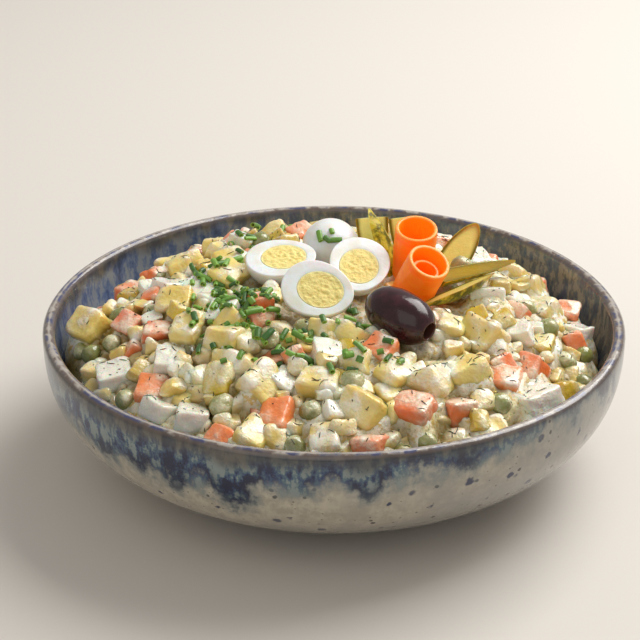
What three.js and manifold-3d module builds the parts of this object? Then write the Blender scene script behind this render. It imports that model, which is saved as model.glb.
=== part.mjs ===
// A wide stoneware bowl heaped with olivier salad: diced potato, carrot, egg white, gherkin and
// peas in mayonnaise, topped with quail eggs, a pitted olive, rolled carrot ribbons,
// gherkin slices and cut chives. Millimetres, +Z up, origin under the middle of the foot.
import * as THREE from "three";
import { mergeVertices } from "three/addons/utils/BufferGeometryUtils.js";
import Module from "manifold-3d";

const wasm = await Module();
wasm.setup();

// Bowl
const RIM_RADIUS = 125;
const BOWL_HEIGHT = 65;
const WALL = 5.5;
const FOOT_RADIUS = 55;
const FOOT_HEIGHT = 2.5;
const FOOT_RING_WIDTH = 7;
const FLOOR_RADIUS = 52;
const FLOOR_HEIGHT = 9;
// The wall opens as a power of the sine and climbs as a power of the cosine of one angle.
const WALL_SPREAD = 1.25;
const WALL_RISE = 0.74;
const ROUND_SIDES = 40;

// Salad heap: the top of its core is a dome that falls by DOME_DROP at DOME_RADIUS.
const CORE_CROWN = 9;
const DOME_DROP = 30;
const DOME_RADIUS = 112;
const DOME_POWER = 3.2;
const SWELL = 1.6;
const GAP = 0.35;
const PIECE_SPAN = 111;
const PIECE_TRIES = 470;
const PIECE_STAND = 7.5;
const STAND_SPREAD = 4;
const PIECE_EASE = 0.37;
const TOPPING_EASE = 0.36;
const DRAWN_FROM = 100;
const CORNER_SHIFT = 0.13;

// Pieces of the salad. Share is the chance of each kind, sizes are edge lengths or diameters.
const KINDS = {
  potato: { share: 0.5, least: 11.5, most: 17.5, flat: 0.82 },
  pea: { share: 0.17, least: 8.6, most: 10.2, flat: 0.95 },
  carrot: { share: 0.1, least: 9, most: 13.5, flat: 0.86 },
  eggwhite: { share: 0.13, least: 10, most: 15, flat: 0.55 },
  gherkin: { share: 0.1, least: 9, most: 13, flat: 0.7 },
};

// The pieces on show, placed by hand: x, y, size and, for one against the wall, a lift.
const SHOWN = {
  carrot: [
    [-83, 57, 10], [-64, 68, 9], [-92, 36, 12], [-87, -12, 12], [-74, -24, 12], [-73, -60, 14],
    [-21, -86, 16], [14, -100, 12], [32, -85, 14], [49, -78, 13], [-16, -58, 10], [69, -58, 13.5],
    [80, -44, 14], [79, -5, 9], [92, 48, 11], [104, 22, 10], [103, -7, 11],
  ],
  eggwhite: [
    [-57, 8, 17], [-90, -42, 17], [-67, -49, 15], [-68, -72, 15], [-56, -80, 15], [77, -28, 13],
    [66, -2, 14], [82, -63, 17],
  ],
  gherkin: [
    [-79, -48, 9], [-45, -66, 15], [60, -21, 9], [87, -29, 10.5], [57, -82, 9], [93, -50, 13],
    [72, 15, 10],
  ],
  pea: [
    [-107, -13, 9], [-84, -61, 9.5], [-44, -79, 10.5], [-15, -99, 10], [-9, -87, 9.5],
    [107, -12, 9], [83, -56, 9.5], [66, -71, 9.8], [104, -36, 9], [36, -95, 10],
  ],
  potato: [
    [-105, -4, 17, 6], [-93, 42, 11.5], [-76, 58, 11.5], [-66, 47, 12], [-55, 66, 12],
    [-67, -6, 16], [-60, -33, 16], [-46, 14, 15], [-44, -46, 16], [-29, -70, 17], [-31, -95, 14],
    [-6, -74, 17], [-3, -98, 13.5], [12, -86, 18], [24, -67, 15], [38, -70, 17], [9, -60, 16.5],
    [7, -42, 15], [61, -36, 19], [53, -61, 17.5], [86, 31, 14], [91, 10, 14], [62, -83, 15],
  ],
};

// Chive rings lie thickest to the left of the eggs and thin out from there.
const CHIVE_COUNT = 38;
const CHIVE_RADIUS = 1.9;
const CHIVE_SHORT = 3;
const CHIVE_LONG = 7;
const CHIVE_SIDES = 4;
const CHIVE_HEAP = { x: -24, y: -6, spreadX: 30, spreadY: 26 };
const CHIVE_SINK = 0.6;

// Quail eggs
const EGG_LENGTH = 31;
const EGG_WIDTH = 26;
const EGG_TAPER = 0.12;
const YOLK_LENGTH = 20;
const YOLK_WIDTH = 17.2;
const YOLK_SHIFT = 1.2;

// Olive
const OLIVE_LENGTH = 34;
const OLIVE_WIDTH = 21;
const OLIVE_HOLE = 7;
const OLIVE_HOLE_DEPTH = 20;

// Carrot ribbon rolls
const ROLL_RADIUS = 9.4;
const ROLL_THICKNESS = 1.8;
const ROLL_SLACK = 0.9;
const ROLL_TURNS = 1.75;
const ROLL_STEPS = 28;
const ROLL_START = 3.3;

// Gherkin slices: flat on the cut side, round on the skin side
const GHERKIN_RADIUS = 8.6;
const GHERKIN_CUT = 4.4;
const GHERKIN_POINT = 2.2;

// A repeatable draw from 0 to 1 for item i, channel k.
function draw(i, k) {
  const s = Math.sin(i * 127.1 + k * 311.7) * 43758.5453;
  return s - Math.floor(s);
}

function between(low, high, share) {
  return low + (high - low) * share;
}

// Turns a three.js geometry into a closed solid.
function solidOf(geometry) {
  const bare = geometry.clone();
  bare.deleteAttribute("normal");
  bare.deleteAttribute("uv");
  const merged = mergeVertices(bare, 1e-4);
  const index = merged.index.array;
  const kept = [];
  for (let i = 0; i < index.length; i += 3) {
    const [a, b, c] = [index[i], index[i + 1], index[i + 2]];
    if (a !== b && b !== c && a !== c) kept.push(a, b, c);
  }
  return new wasm.Manifold(
    new wasm.Mesh({
      numProp: 3,
      vertProperties: new Float32Array(merged.attributes.position.array),
      triVerts: new Uint32Array(kept),
    }),
  );
}

// Turns a solid back into a geometry with flat faces.
function geometryOf(solid) {
  const made = solid.getMesh();
  const indexed = new THREE.BufferGeometry();
  indexed.setAttribute("position", new THREE.BufferAttribute(made.vertProperties, 3));
  indexed.setIndex(new THREE.BufferAttribute(made.triVerts, 1));
  const flat = indexed.toNonIndexed();
  flat.computeVertexNormals();
  return flat;
}

// A solid of revolution about Z from a profile of [radius, height] pairs that starts at the bottom.
function turned(profile, sides = ROUND_SIDES) {
  const points = profile.map(([radius, height]) => new THREE.Vector2(radius, height));
  return new THREE.LatheGeometry(points, sides).rotateX(Math.PI / 2);
}

// Points up a bowl wall from its flat base to where it stands upright.
function wallCurve(from, to, steps) {
  const points = [];
  for (let i = 0; i <= steps; i++) {
    const angle = ((Math.PI / 2) * i) / steps;
    const out = Math.sin(angle) ** WALL_SPREAD;
    const up = i === steps ? 1 : 1 - Math.cos(angle) ** WALL_RISE;
    points.push([between(from[0], to[0], out), between(from[1], to[1], up)]);
  }
  return points;
}

const LIP_RADIUS = WALL / 2;
const LIP_HEIGHT = BOWL_HEIGHT - LIP_RADIUS;
const INSIDE_RADIUS = RIM_RADIUS - WALL;

function bowl() {
  const outside = wallCurve([FOOT_RADIUS, FOOT_HEIGHT], [RIM_RADIUS, LIP_HEIGHT], 7);
  const inside = wallCurve([FLOOR_RADIUS, FLOOR_HEIGHT], [INSIDE_RADIUS, LIP_HEIGHT], 6);
  const lip = [0.25, 0.5, 0.75].map((share) => {
    const angle = Math.PI * share;
    return [
      RIM_RADIUS - LIP_RADIUS + LIP_RADIUS * Math.cos(angle),
      LIP_HEIGHT + LIP_RADIUS * Math.sin(angle),
    ];
  });
  const foot = [
    [0, FOOT_HEIGHT],
    [FOOT_RADIUS - FOOT_RING_WIDTH - 1, FOOT_HEIGHT],
    [FOOT_RADIUS - FOOT_RING_WIDTH, 0],
    [FOOT_RADIUS - 1, 0],
  ];
  return turned([...foot, ...outside, ...lip, ...inside.reverse(), [0, FLOOR_HEIGHT]]);
}

// The space inside the bowl, a gap clear of its wall and open upwards.
function cavity() {
  const wall = wallCurve(
    [FLOOR_RADIUS - GAP, FLOOR_HEIGHT + GAP],
    [INSIDE_RADIUS - GAP, LIP_HEIGHT],
    6,
  );
  const above = BOWL_HEIGHT + 60;
  return turned([[0, FLOOR_HEIGHT + GAP], ...wall, [INSIDE_RADIUS - GAP, above], [0, above]]);
}

function coreHeight(x, y) {
  const radius = Math.hypot(x, y);
  return BOWL_HEIGHT + CORE_CROWN - DOME_DROP * (radius / DOME_RADIUS) ** DOME_POWER;
}

// Slow rise and fall of the heap.
function swell(x, y) {
  return SWELL * Math.sin(x / 17 + 1) * Math.cos(y / 15 - 0.5);
}

function dome() {
  const reach = RIM_RADIUS + 4;
  const profile = [[0, FOOT_HEIGHT], [reach, FOOT_HEIGHT]];
  const rings = 5;
  for (let i = rings; i >= 0; i--) {
    const radius = reach * (i / rings) ** 0.75;
    profile.push([radius, coreHeight(radius, 0)]);
  }
  return turned(profile);
}

// A matrix whose X lies along one direction and whose Z points as near as it can to another.
function frameAt(at, along, up) {
  const x = new THREE.Vector3(...along).normalize();
  const y = new THREE.Vector3(...up).cross(x).normalize();
  const z = new THREE.Vector3().crossVectors(x, y);
  return new THREE.Matrix4().makeBasis(x, y, z).setPosition(...at);
}

// A solid of revolution about X. The radius at each station comes from a function of -1 to 1.
function spindle(length, radiusAt, stations, sides) {
  const profile = [];
  for (let i = 0; i <= stations; i++) {
    const along = -Math.cos((Math.PI * i) / stations);
    const end = i === 0 || i === stations;
    profile.push([end ? 0 : radiusAt(along), (along * length) / 2]);
  }
  return turned(profile, sides).rotateY(Math.PI / 2);
}

function eggRadius(width) {
  return (s) => (width / 2) * Math.sqrt(1 - s * s) * (1 + EGG_TAPER * s);
}

// Everything above a level, to cut a solid off flat.
function above(level) {
  const size = 200;
  return solidOf(new THREE.BoxGeometry(size, size, size).translate(0, 0, level + size / 2));
}

// The yolk sits a little towards the egg's narrow end.
function yolkSolid(grow) {
  const length = YOLK_LENGTH + 2 * grow;
  const width = YOLK_WIDTH + 2 * grow;
  const round = spindle(length, (s) => (width / 2) * Math.sqrt(1 - s * s), 6, 14);
  return solidOf(round.translate(-YOLK_SHIFT, 0, 0));
}

function wholeEgg(grow) {
  return solidOf(spindle(EGG_LENGTH + 2 * grow, eggRadius(EGG_WIDTH + 2 * grow), 9, 16));
}

// Half an egg, cut face up.
function eggHalf(grow) {
  return wholeEgg(grow).subtract(above(grow));
}

function eggWhite() {
  return eggHalf(0).subtract(yolkSolid(GAP));
}

function yolk() {
  return yolkSolid(0).subtract(above(0));
}

function olive(grow) {
  const radiusAt = (s) => (OLIVE_WIDTH / 2 + grow) * (1 - Math.abs(s) ** 2.3) ** 0.52;
  return solidOf(spindle(OLIVE_LENGTH + 2 * grow, radiusAt, 9, 16));
}

function pittedOlive() {
  const hole = new THREE.CylinderGeometry(OLIVE_HOLE / 2, OLIVE_HOLE / 2, OLIVE_HOLE_DEPTH, 12)
    .rotateZ(Math.PI / 2)
    .translate(OLIVE_LENGTH / 2, 0, 0);
  return olive(0).subtract(solidOf(hole));
}

// The radius of a rolled ribbon after some turns: round for most of a turn, then one step inwards.
function rollRadius(turn) {
  const share = Math.min(Math.max((turn - 0.55) / 0.45, 0), 1);
  const step = share * share * (3 - 2 * share);
  return ROLL_RADIUS - step * (ROLL_THICKNESS + ROLL_SLACK);
}

// A ribbon rolled into a tube about X, its inner turn set lower at the open end.
function ribbonRoll(length, innerDrop) {
  const outer = [];
  const inner = [];
  for (let i = 0; i <= ROLL_STEPS; i++) {
    const turn = (ROLL_TURNS * i) / ROLL_STEPS;
    const radius = rollRadius(turn);
    const angle = 2 * Math.PI * turn + ROLL_START;
    outer.push(new THREE.Vector2(radius * Math.cos(angle), radius * Math.sin(angle)));
    const under = radius - ROLL_THICKNESS;
    inner.push(new THREE.Vector2(under * Math.cos(angle), under * Math.sin(angle)));
  }
  const outline = new THREE.Shape([...outer, ...inner.reverse()]);
  const ribbon = new THREE.ExtrudeGeometry(outline, { depth: length, bevelEnabled: false });
  const drop = new THREE.CylinderGeometry(
    ROLL_RADIUS - ROLL_THICKNESS - ROLL_SLACK / 2,
    ROLL_RADIUS - ROLL_THICKNESS - ROLL_SLACK / 2,
    2 * innerDrop,
    16,
  )
    .rotateX(Math.PI / 2)
    .translate(0, 0, length);
  const cut = solidOf(ribbon).subtract(solidOf(drop));
  return cut.translate([0, 0, -length / 2]).rotate([0, 90, 0]);
}

function rollEnvelope(length, grow) {
  const radius = ROLL_RADIUS + grow;
  return solidOf(
    new THREE.CylinderGeometry(radius, radius, length + 2 * grow, 28).rotateZ(Math.PI / 2),
  );
}

// A lengthwise slice of gherkin: its flat cut face at z = 0, pointed at both ends, or cut across
// at a distance from its middle. The whole fruit is longer than the slice taken off its side.
function gherkinSlice({ length, from }, grow) {
  const taken = (1 - GHERKIN_CUT / GHERKIN_RADIUS) ** (1 / GHERKIN_POINT);
  const radiusAt = (s) => (GHERKIN_RADIUS + grow) * (1 - Math.abs(s) ** GHERKIN_POINT);
  const whole = solidOf(spindle(length / taken + 2 * grow, radiusAt, 12, 16));
  const slice = whole.subtract(above(-GHERKIN_CUT + grow)).translate([0, 0, GHERKIN_CUT]);
  return from === undefined ? slice : slice.trimByPlane([1, 0, 0], from - grow);
}

// Where each topping lies: its middle, the way its length runs and the way its face looks.
const top = BOWL_HEIGHT;
const EGGS = {
  egg_left: { at: [-23, 13, top + 20.5], along: [-0.97, -0.2, -0.06], up: [-0.08, -0.24, 0.97] },
  egg_front: { at: [-6.7, -23, top + 22], along: [-0.93, 0.25, 0.2], up: [0.04, -0.6, 0.8] },
  egg_right: { at: [11, 4, top + 21.4], along: [0.15, 0.9, 0.4], up: [0.1, -0.4, 0.92] },
};
const EGG_WHOLE = { at: [-1.5, 37, top + 15], along: [0.12, -0.95, 0.1], up: [0, 0, 1] };
const OLIVE = { at: [27.3, -38, top + 16.9], along: [0.73, -0.67, -0.14], up: [0, 0, 1] };
const ROLLS = {
  carrot_roll_front: { at: [36.5, -6.8, top + 19.2], along: [0.33, -0.37, 0.87], length: 23 },
  carrot_roll_back: { at: [35.2, 18.5, top + 21.2], along: [0.046, -0.253, 0.966], length: 25 },
};
const INNER_DROP = { carrot_roll_front: 4, carrot_roll_back: 12 };
const GHERKINS = {
  gherkin_spear: {
    at: [21.8, 31.7, top + 16.5], along: [-0.337, 0.333, 0.88], up: [-0.9, 0.3, -0.2], length: 38,
  },
  gherkin_left: {
    at: [17, 48, top + 24.5], along: [0.08, -0.3, -0.95], up: [-0.1, -0.94, 0.3], length: 46,
    from: 0,
  },
  gherkin_middle: {
    at: [31.6, 42, top + 27.2], along: [0.1, -0.32, -0.94], up: [0.1, -0.93, 0.33], length: 46,
    from: 0,
  },
  gherkin_upright: {
    at: [53.4, 37.8, top + 8.1], along: [0.55, 0.36, 0.75], up: [-0.35, -0.75, 0.56], length: 40,
  },
  gherkin_long: {
    at: [48.8, 4.7, top + 12.5], along: [0.84, 0.54, 0], up: [0.1, -0.2, 1], length: 74,
    from: -6,
  },
  gherkin_low: {
    at: [55.2, -8.4, top + 12.9], along: [0.767, 0.62, 0.1], up: [-0.3, 0.25, 0.9], length: 38,
  },
};

// The solid of every topping, grown a little, in its place. Each is what the salad must clear.
function toppingEnvelopes() {
  const placed = [];
  const put = (solid, place) => {
    const up = place.up ?? [0, 1, 0];
    placed.push(solid.transform(frameAt(place.at, place.along, up).elements));
  };
  for (const egg of Object.values(EGGS)) put(eggHalf(GAP), egg);
  put(wholeEgg(GAP), EGG_WHOLE);
  put(olive(GAP), OLIVE);
  for (const roll of Object.values(ROLLS)) put(rollEnvelope(roll.length, GAP), roll);
  for (const slice of Object.values(GHERKINS)) put(gherkinSlice(slice, GAP), slice);
  return placed;
}

// How far toppings reach round their middles, for pieces to keep clear of.
function toppingSpots() {
  const spots = [];
  const along = (place, length, width) => {
    const [x, y] = place.at;
    const run = new THREE.Vector3(...place.along).normalize();
    for (const share of [-0.3, 0, 0.3]) {
      spots.push([x + run.x * length * share, y + run.y * length * share, width / 2]);
    }
  };
  for (const egg of Object.values(EGGS)) along(egg, EGG_LENGTH, EGG_WIDTH * 0.8);
  along(EGG_WHOLE, EGG_LENGTH, EGG_WIDTH * 0.8);
  along(OLIVE, OLIVE_LENGTH, OLIVE_WIDTH * 0.7);
  for (const roll of Object.values(ROLLS)) along(roll, 6, 2 * ROLL_RADIUS);
  for (const name of ["gherkin_spear", "gherkin_left", "gherkin_middle"]) {
    along(GHERKINS[name], 10, 8);
  }
  along(GHERKINS.gherkin_upright, 30, 9);
  along(GHERKINS.gherkin_long, 44, 8);
  along(GHERKINS.gherkin_low, 40, 7);
  return spots;
}

// Every piece of the heap as {kind, x, y, size, i}: the shown ones, then draws that find room.
function pieces() {
  const spots = toppingSpots();
  const placed = [];
  const clear = (x, y, size) =>
    spots.every(([sx, sy, reach]) => Math.hypot(x - sx, y - sy) > reach + size * TOPPING_EASE) &&
    placed.every((p) => Math.hypot(x - p.x, y - p.y) > PIECE_EASE * (size + p.size));
  for (const [kind, list] of Object.entries(SHOWN)) {
    for (const [x, y, size, lift = 0] of list) {
      placed.push({ kind, x, y, size, lift, i: placed.length });
    }
  }
  for (let i = 1; i <= PIECE_TRIES; i++) {
    let share = draw(i, 3);
    const kind = Object.keys(KINDS).find((name) => (share -= KINDS[name].share) < 0) ?? "pea";
    const size = between(KINDS[kind].least, KINDS[kind].most, draw(i, 4));
    const radius = (PIECE_SPAN - size * 0.35) * Math.sqrt(draw(i, 1));
    const angle = 2 * Math.PI * draw(i, 2);
    const [x, y] = [radius * Math.cos(angle), radius * Math.sin(angle)];
    if (clear(x, y, size)) placed.push({ kind, x, y, size, lift: 0, i: DRAWN_FROM + i });
  }
  return placed;
}

// The middle of a piece: its top stands a little proud of the core.
function pieceHeight({ x, y, size, lift, kind, i }) {
  const stand = PIECE_STAND + lift + STAND_SPREAD * (draw(i, 5) - 0.5) + swell(x, y);
  return coreHeight(x, y) + stand - (size * KINDS[kind].flat) / 2;
}

// A roughly cut block whose corners are pulled about.
function block({ size, kind, i }) {
  const shape = new THREE.BoxGeometry(
    size,
    size * between(0.78, 1, draw(i, 6)),
    size * KINDS[kind].flat,
  );
  const corners = shape.getAttribute("position");
  for (let v = 0; v < corners.count; v++) {
    const [x, y, z] = [corners.getX(v), corners.getY(v), corners.getZ(v)];
    const corner = (x > 0) + 2 * (y > 0) + 4 * (z > 0);
    const pull = (axis) => 1 + CORNER_SHIFT * (2 * draw(i, 10 + 3 * corner + axis) - 1);
    corners.setXYZ(v, x * pull(0), y * pull(1), z * pull(2));
  }
  return shape;
}

function pieceSolid(piece) {
  const { kind, x, y, size, i } = piece;
  const shape = kind === "pea" ? new THREE.IcosahedronGeometry(size / 2, 0) : block(piece);
  const tilt = kind === "eggwhite" ? 0.35 : 0.6;
  shape.rotateZ(2 * Math.PI * draw(i, 7));
  shape.rotateX(tilt * (2 * draw(i, 8) - 1));
  shape.rotateY(tilt * (2 * draw(i, 9) - 1));
  shape.translate(x, y, pieceHeight(piece));
  return solidOf(shape);
}

// The height of the heap's surface over a point, by a ray from above.
function surfaceFinder(solid) {
  const mesh = new THREE.Mesh(geometryOf(solid));
  const ray = new THREE.Raycaster();
  const down = new THREE.Vector3(0, 0, -1);
  return (x, y) => {
    ray.set(new THREE.Vector3(x, y, 2 * BOWL_HEIGHT), down);
    const hit = ray.intersectObject(mesh)[0];
    return hit ? hit.point.z : coreHeight(x, y);
  };
}

// Where the chives fall: a bell-shaped scatter round one spot, clear of the toppings.
function chiveSpots() {
  const spots = toppingSpots();
  const found = [];
  for (let i = 1; found.length < CHIVE_COUNT; i++) {
    const wide = Math.sqrt(-2 * Math.log(1 - 0.98 * draw(i, 41)));
    const angle = 2 * Math.PI * draw(i, 42);
    const x = CHIVE_HEAP.x + CHIVE_HEAP.spreadX * wide * Math.cos(angle);
    const y = CHIVE_HEAP.y + CHIVE_HEAP.spreadY * wide * Math.sin(angle);
    const free = spots.every(([sx, sy, reach]) => Math.hypot(x - sx, y - sy) > reach + 3.5);
    if (free && Math.hypot(x, y) < PIECE_SPAN - 12) found.push({ x, y, i });
  }
  return found;
}

function chiveSolid({ x, y, i }, surface) {
  const length = between(CHIVE_SHORT, CHIVE_LONG, draw(i, 43) ** 1.5);
  const shape = new THREE.CylinderGeometry(CHIVE_RADIUS, CHIVE_RADIUS, length, CHIVE_SIDES);
  shape.rotateX(between(-0.5, 0.5, draw(i, 44)));
  shape.rotateZ(Math.PI * draw(i, 45));
  return solidOf(shape.translate(x, y, surface(x, y) + CHIVE_SINK));
}

function salad() {
  const inside = solidOf(cavity());
  let heap = solidOf(dome()).intersect(inside);
  for (const piece of pieces()) heap = heap.add(pieceSolid(piece));
  for (const envelope of toppingEnvelopes()) heap = heap.subtract(envelope);
  const surface = surfaceFinder(heap);
  for (const spot of chiveSpots()) heap = heap.add(chiveSolid(spot, surface));
  for (const envelope of toppingEnvelopes()) heap = heap.subtract(envelope);
  heap = heap.intersect(inside);
  return heap.decompose().sort((a, b) => b.volume() - a.volume())[0];
}

const FINISHES = {
  glaze: { color: 0x77808f, roughness: 0.3 },
  salad: { color: 0xe6d49a, roughness: 0.45 },
  white: { color: 0xf2f1ec, roughness: 0.35 },
  yolk: { color: 0xe9c765, roughness: 0.75 },
  olive: { color: 0x2c171c, roughness: 0.2 },
  carrot: { color: 0xf47a1c, roughness: 0.45 },
  gherkin: { color: 0xa8912c, roughness: 0.35 },
};

const part = new THREE.Group();

function addPiece(name, geometry, finish, place) {
  const material = new THREE.MeshStandardMaterial({ ...FINISHES[finish], metalness: 0 });
  const mesh = new THREE.Mesh(geometry, material);
  mesh.name = name;
  if (place) {
    mesh.applyMatrix4(frameAt(place.at, place.along, place.up ?? [0, 1, 0]));
  }
  part.add(mesh);
}

addPiece("bowl", bowl(), "glaze");
addPiece("salad", geometryOf(salad()), "salad");
for (const [name, place] of Object.entries(EGGS)) {
  addPiece(`${name}_white`, geometryOf(eggWhite()), "white", place);
  addPiece(`${name}_yolk`, geometryOf(yolk()), "yolk", place);
}
addPiece("egg_whole", geometryOf(wholeEgg(0)), "white", EGG_WHOLE);
addPiece("olive", geometryOf(pittedOlive()), "olive", OLIVE);
for (const [name, roll] of Object.entries(ROLLS)) {
  addPiece(name, geometryOf(ribbonRoll(roll.length, INNER_DROP[name])), "carrot", roll);
}
for (const [name, slice] of Object.entries(GHERKINS)) {
  addPiece(name, geometryOf(gherkinSlice(slice, 0)), "gherkin", slice);
}

export default part;
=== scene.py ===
"""Bowl of olivier salad: the fine shape and finish of every piece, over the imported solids.

Lengths in the code are millimetres and become metres as a mesh is made. +Z is up, the viewer
stands at -Y, and the origin lies under the middle of the bowl's foot.
"""
import logging
import math
from dataclasses import dataclass, field
from enum import Enum, IntEnum

import bpy
import numpy as np
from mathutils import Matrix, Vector


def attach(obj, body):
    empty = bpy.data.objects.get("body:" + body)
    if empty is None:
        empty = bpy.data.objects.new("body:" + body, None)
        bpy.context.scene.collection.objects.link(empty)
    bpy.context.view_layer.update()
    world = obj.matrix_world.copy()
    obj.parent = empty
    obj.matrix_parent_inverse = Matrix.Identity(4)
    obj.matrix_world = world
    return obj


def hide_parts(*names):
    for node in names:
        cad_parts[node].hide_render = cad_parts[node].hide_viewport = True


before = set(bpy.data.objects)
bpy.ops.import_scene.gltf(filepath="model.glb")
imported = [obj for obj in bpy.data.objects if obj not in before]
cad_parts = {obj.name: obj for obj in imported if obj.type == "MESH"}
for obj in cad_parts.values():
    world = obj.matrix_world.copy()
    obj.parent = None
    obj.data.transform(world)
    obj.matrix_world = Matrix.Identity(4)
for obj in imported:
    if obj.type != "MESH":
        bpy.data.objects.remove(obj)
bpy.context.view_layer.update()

LOG = logging.getLogger("olivier_salad")

MM = 0.001
FULL_TURN = 2 * math.pi
CLEAR = 0.35

RIM_RADIUS = 125.0
BOWL_HEIGHT = 65.0
WALL = 5.5
FOOT_RADIUS = 55.0
FOOT_HEIGHT = 2.5
FOOT_RING_WIDTH = 7.0
FLOOR_RADIUS = 52.0
FLOOR_HEIGHT = 9.0
WALL_SPREAD = 1.25
WALL_RISE = 0.74
LIP_RADIUS = WALL / 2
LIP_HEIGHT = BOWL_HEIGHT - LIP_RADIUS
INSIDE_RADIUS = RIM_RADIUS - WALL

CORE_CROWN = 9.0
DOME_DROP = 30.0
DOME_RADIUS = 112.0
DOME_POWER = 3.2
SWELL = 1.6

Triple = tuple[float, float, float]
Colour = Triple
Palette = tuple[tuple[float, Colour], ...]
Material = bpy.types.Material
Socket = bpy.types.NodeSocket
Feed = Socket | float | tuple[float, ...] | None
Key = int | str


class Lot(IntEnum):
    """What a repeatable draw settles: the number that keeps the draws for one item apart."""

    REACH = 1
    ANGLE = 2
    KIND = 3
    SIZE = 4
    STAND = 5
    WIDTH = 6
    TURN = 7
    TILT_X = 8
    TILT_Y = 9
    CORNERS = 10
    CHIVE_REACH = 41
    CHIVE_ANGLE = 42
    CHIVE_LENGTH = 43
    CHIVE_TILT = 44
    CHIVE_HEADING = 45
    CHIVE_SIZE = 46
    CHIVE_SQUASH = 47
    CHIVE_SHADE = 48
    SHADE = 50
    DILL_LENGTH = 51
    DILL_REACH = 52
    DILL_ANGLE = 53
    DILL_HEADING = 54
    DILL_BEND = 55
    DILL_SHADE = 56
    SINK = 57
    FILM = 58
    DRIP_ANGLE = 61
    DRIP_LENGTH = 62
    DRIP_WIDTH = 63


def srgb(red: int, green: int, blue: int) -> Colour:
    """A colour given as screen values from 0 to 255, as linear light."""
    share = np.array([red, green, blue]) / 255
    return tuple(np.where(share <= 0.04045, share / 12.92, ((share + 0.055) / 1.055) ** 2.4).tolist())


def ramp(*stops: tuple[float, int, int, int]) -> Palette:
    """The stops of a colour ramp, each given as its position and its screen values."""
    return tuple((position, srgb(*colour)) for position, *colour in stops)


def smooth(share: np.ndarray) -> np.ndarray:
    """The smoothstep of a share: three squares less two cubes, held between 0 and 1."""
    held = np.clip(share, 0, 1)
    return held * held * (3 - 2 * held)


def between(low: float, high: float, share: np.ndarray) -> np.ndarray:
    """The value a share of the way from low to high."""
    return low + (high - low) * share


def angles(count: int) -> np.ndarray:
    """Equal steps round a full turn, from 0."""
    return np.linspace(0, FULL_TURN, count, endpoint=False)


def normed(vectors: np.ndarray) -> np.ndarray:
    """Vectors over their own lengths."""
    return vectors / np.linalg.norm(vectors, axis=-1, keepdims=True)


def draw(item: np.ndarray, lot: np.ndarray) -> np.ndarray:
    """Repeatable draws from 0 to 1: the fraction of a large multiple of a sine of both numbers."""
    wave = np.sin(np.asarray(item) * 127.1 + np.asarray(lot) * 311.7) * 43758.5453
    return wave - np.floor(wave)


def grain(points: np.ndarray, cell: float, seed: int = 0) -> np.ndarray:
    """Smooth noise from -1 to 1: a hashed value at each corner of a cubic lattice, blended.

    Args:
        points: places in millimetres, the last axis being x, y and z.
        cell: spacing of the lattice in millimetres.
        seed: shifts the lattice to another part of the noise.

    Returns:
        One value for each point.
    """
    scaled = points / cell + seed * 17.31
    corner = np.floor(scaled).astype(np.int64)
    part = smooth(scaled - corner)
    total = np.zeros(points.shape[:-1])
    for index in range(8):
        step = np.array([index & 1, index >> 1 & 1, index >> 2 & 1])
        key = (corner + step) * np.array([73856093, 19349663, 83492791])
        mixed = key[..., 0] ^ key[..., 1] ^ key[..., 2]
        mixed = (mixed ^ (mixed >> 13)) * 1274126177
        value = ((mixed ^ (mixed >> 16)) & 0xFFFFFF) / 0xFFFFFF
        total += value * np.prod(np.where(step, part, 1 - part), axis=-1)
    return 2 * total - 1


@dataclass
class Shape:
    """A mesh in millimetres: points, four-sided and three-sided faces, and values at the points."""

    points: np.ndarray
    quads: np.ndarray
    tris: np.ndarray = field(default_factory=lambda: np.zeros((0, 3), np.int64))
    values: dict[str, np.ndarray] = field(default_factory=dict)

    def outward(self) -> "Shape":
        """Turns the faces to give a positive enclosed volume.

        Returns:
            This shape.
        """
        split = np.concatenate([self.quads[:, [0, 1, 2]], self.quads[:, [0, 2, 3]], self.tris])
        a, b, c = (self.points[split[:, k]] for k in range(3))
        if np.einsum("ij,ij->", a, np.cross(b, c)) < 0:
            self.quads = self.quads[:, ::-1]
            self.tris = self.tris[:, ::-1]
        return self

    def repeated(self, points: np.ndarray, values: dict[str, np.ndarray]) -> "Shape":
        """Many copies of this shape as one.

        Args:
            points: the points of every copy, copies by points by three.
            values: arrays that spread over copies by points.

        Returns:
            The joined shape.
        """
        count, size = points.shape[:2]
        shift = (np.arange(count) * size)[:, None, None]
        return Shape(
            points.reshape(-1, 3),
            (self.quads[None] + shift).reshape(-1, 4),
            (self.tris[None] + shift).reshape(-1, 3),
            {name: np.broadcast_to(value, (count, size)).reshape(-1) for name, value in values.items()},
        )


def loft(loops: np.ndarray, first: Triple | None = None, last: Triple | None = None) -> Shape:
    """A closed skin through rows of loop points, drawn in to a pole at each end.

    Args:
        loops: rows by points round by three.
        first: the pole before the first row, or its mean.
        last: the pole after the last row, or its mean.

    Returns:
        The closed shape, the poles being its last two points.
    """
    rows, around, _ = loops.shape
    index = np.arange(rows * around).reshape(rows, around)
    following = np.roll(index, -1, axis=1)
    quads = np.stack([index[:-1], following[:-1], following[1:], index[1:]], -1).reshape(-1, 4)
    pole = rows * around
    tris = np.concatenate([
        np.stack([np.full(around, pole), following[0], index[0]], -1),
        np.stack([np.full(around, pole + 1), index[-1], following[-1]], -1),
    ])
    ends = [
        loops[0].mean(0) if first is None else np.asarray(first, float),
        loops[-1].mean(0) if last is None else np.asarray(last, float),
    ]
    return Shape(np.vstack([loops.reshape(-1, 3), ends]), quads, tris).outward()


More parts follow.
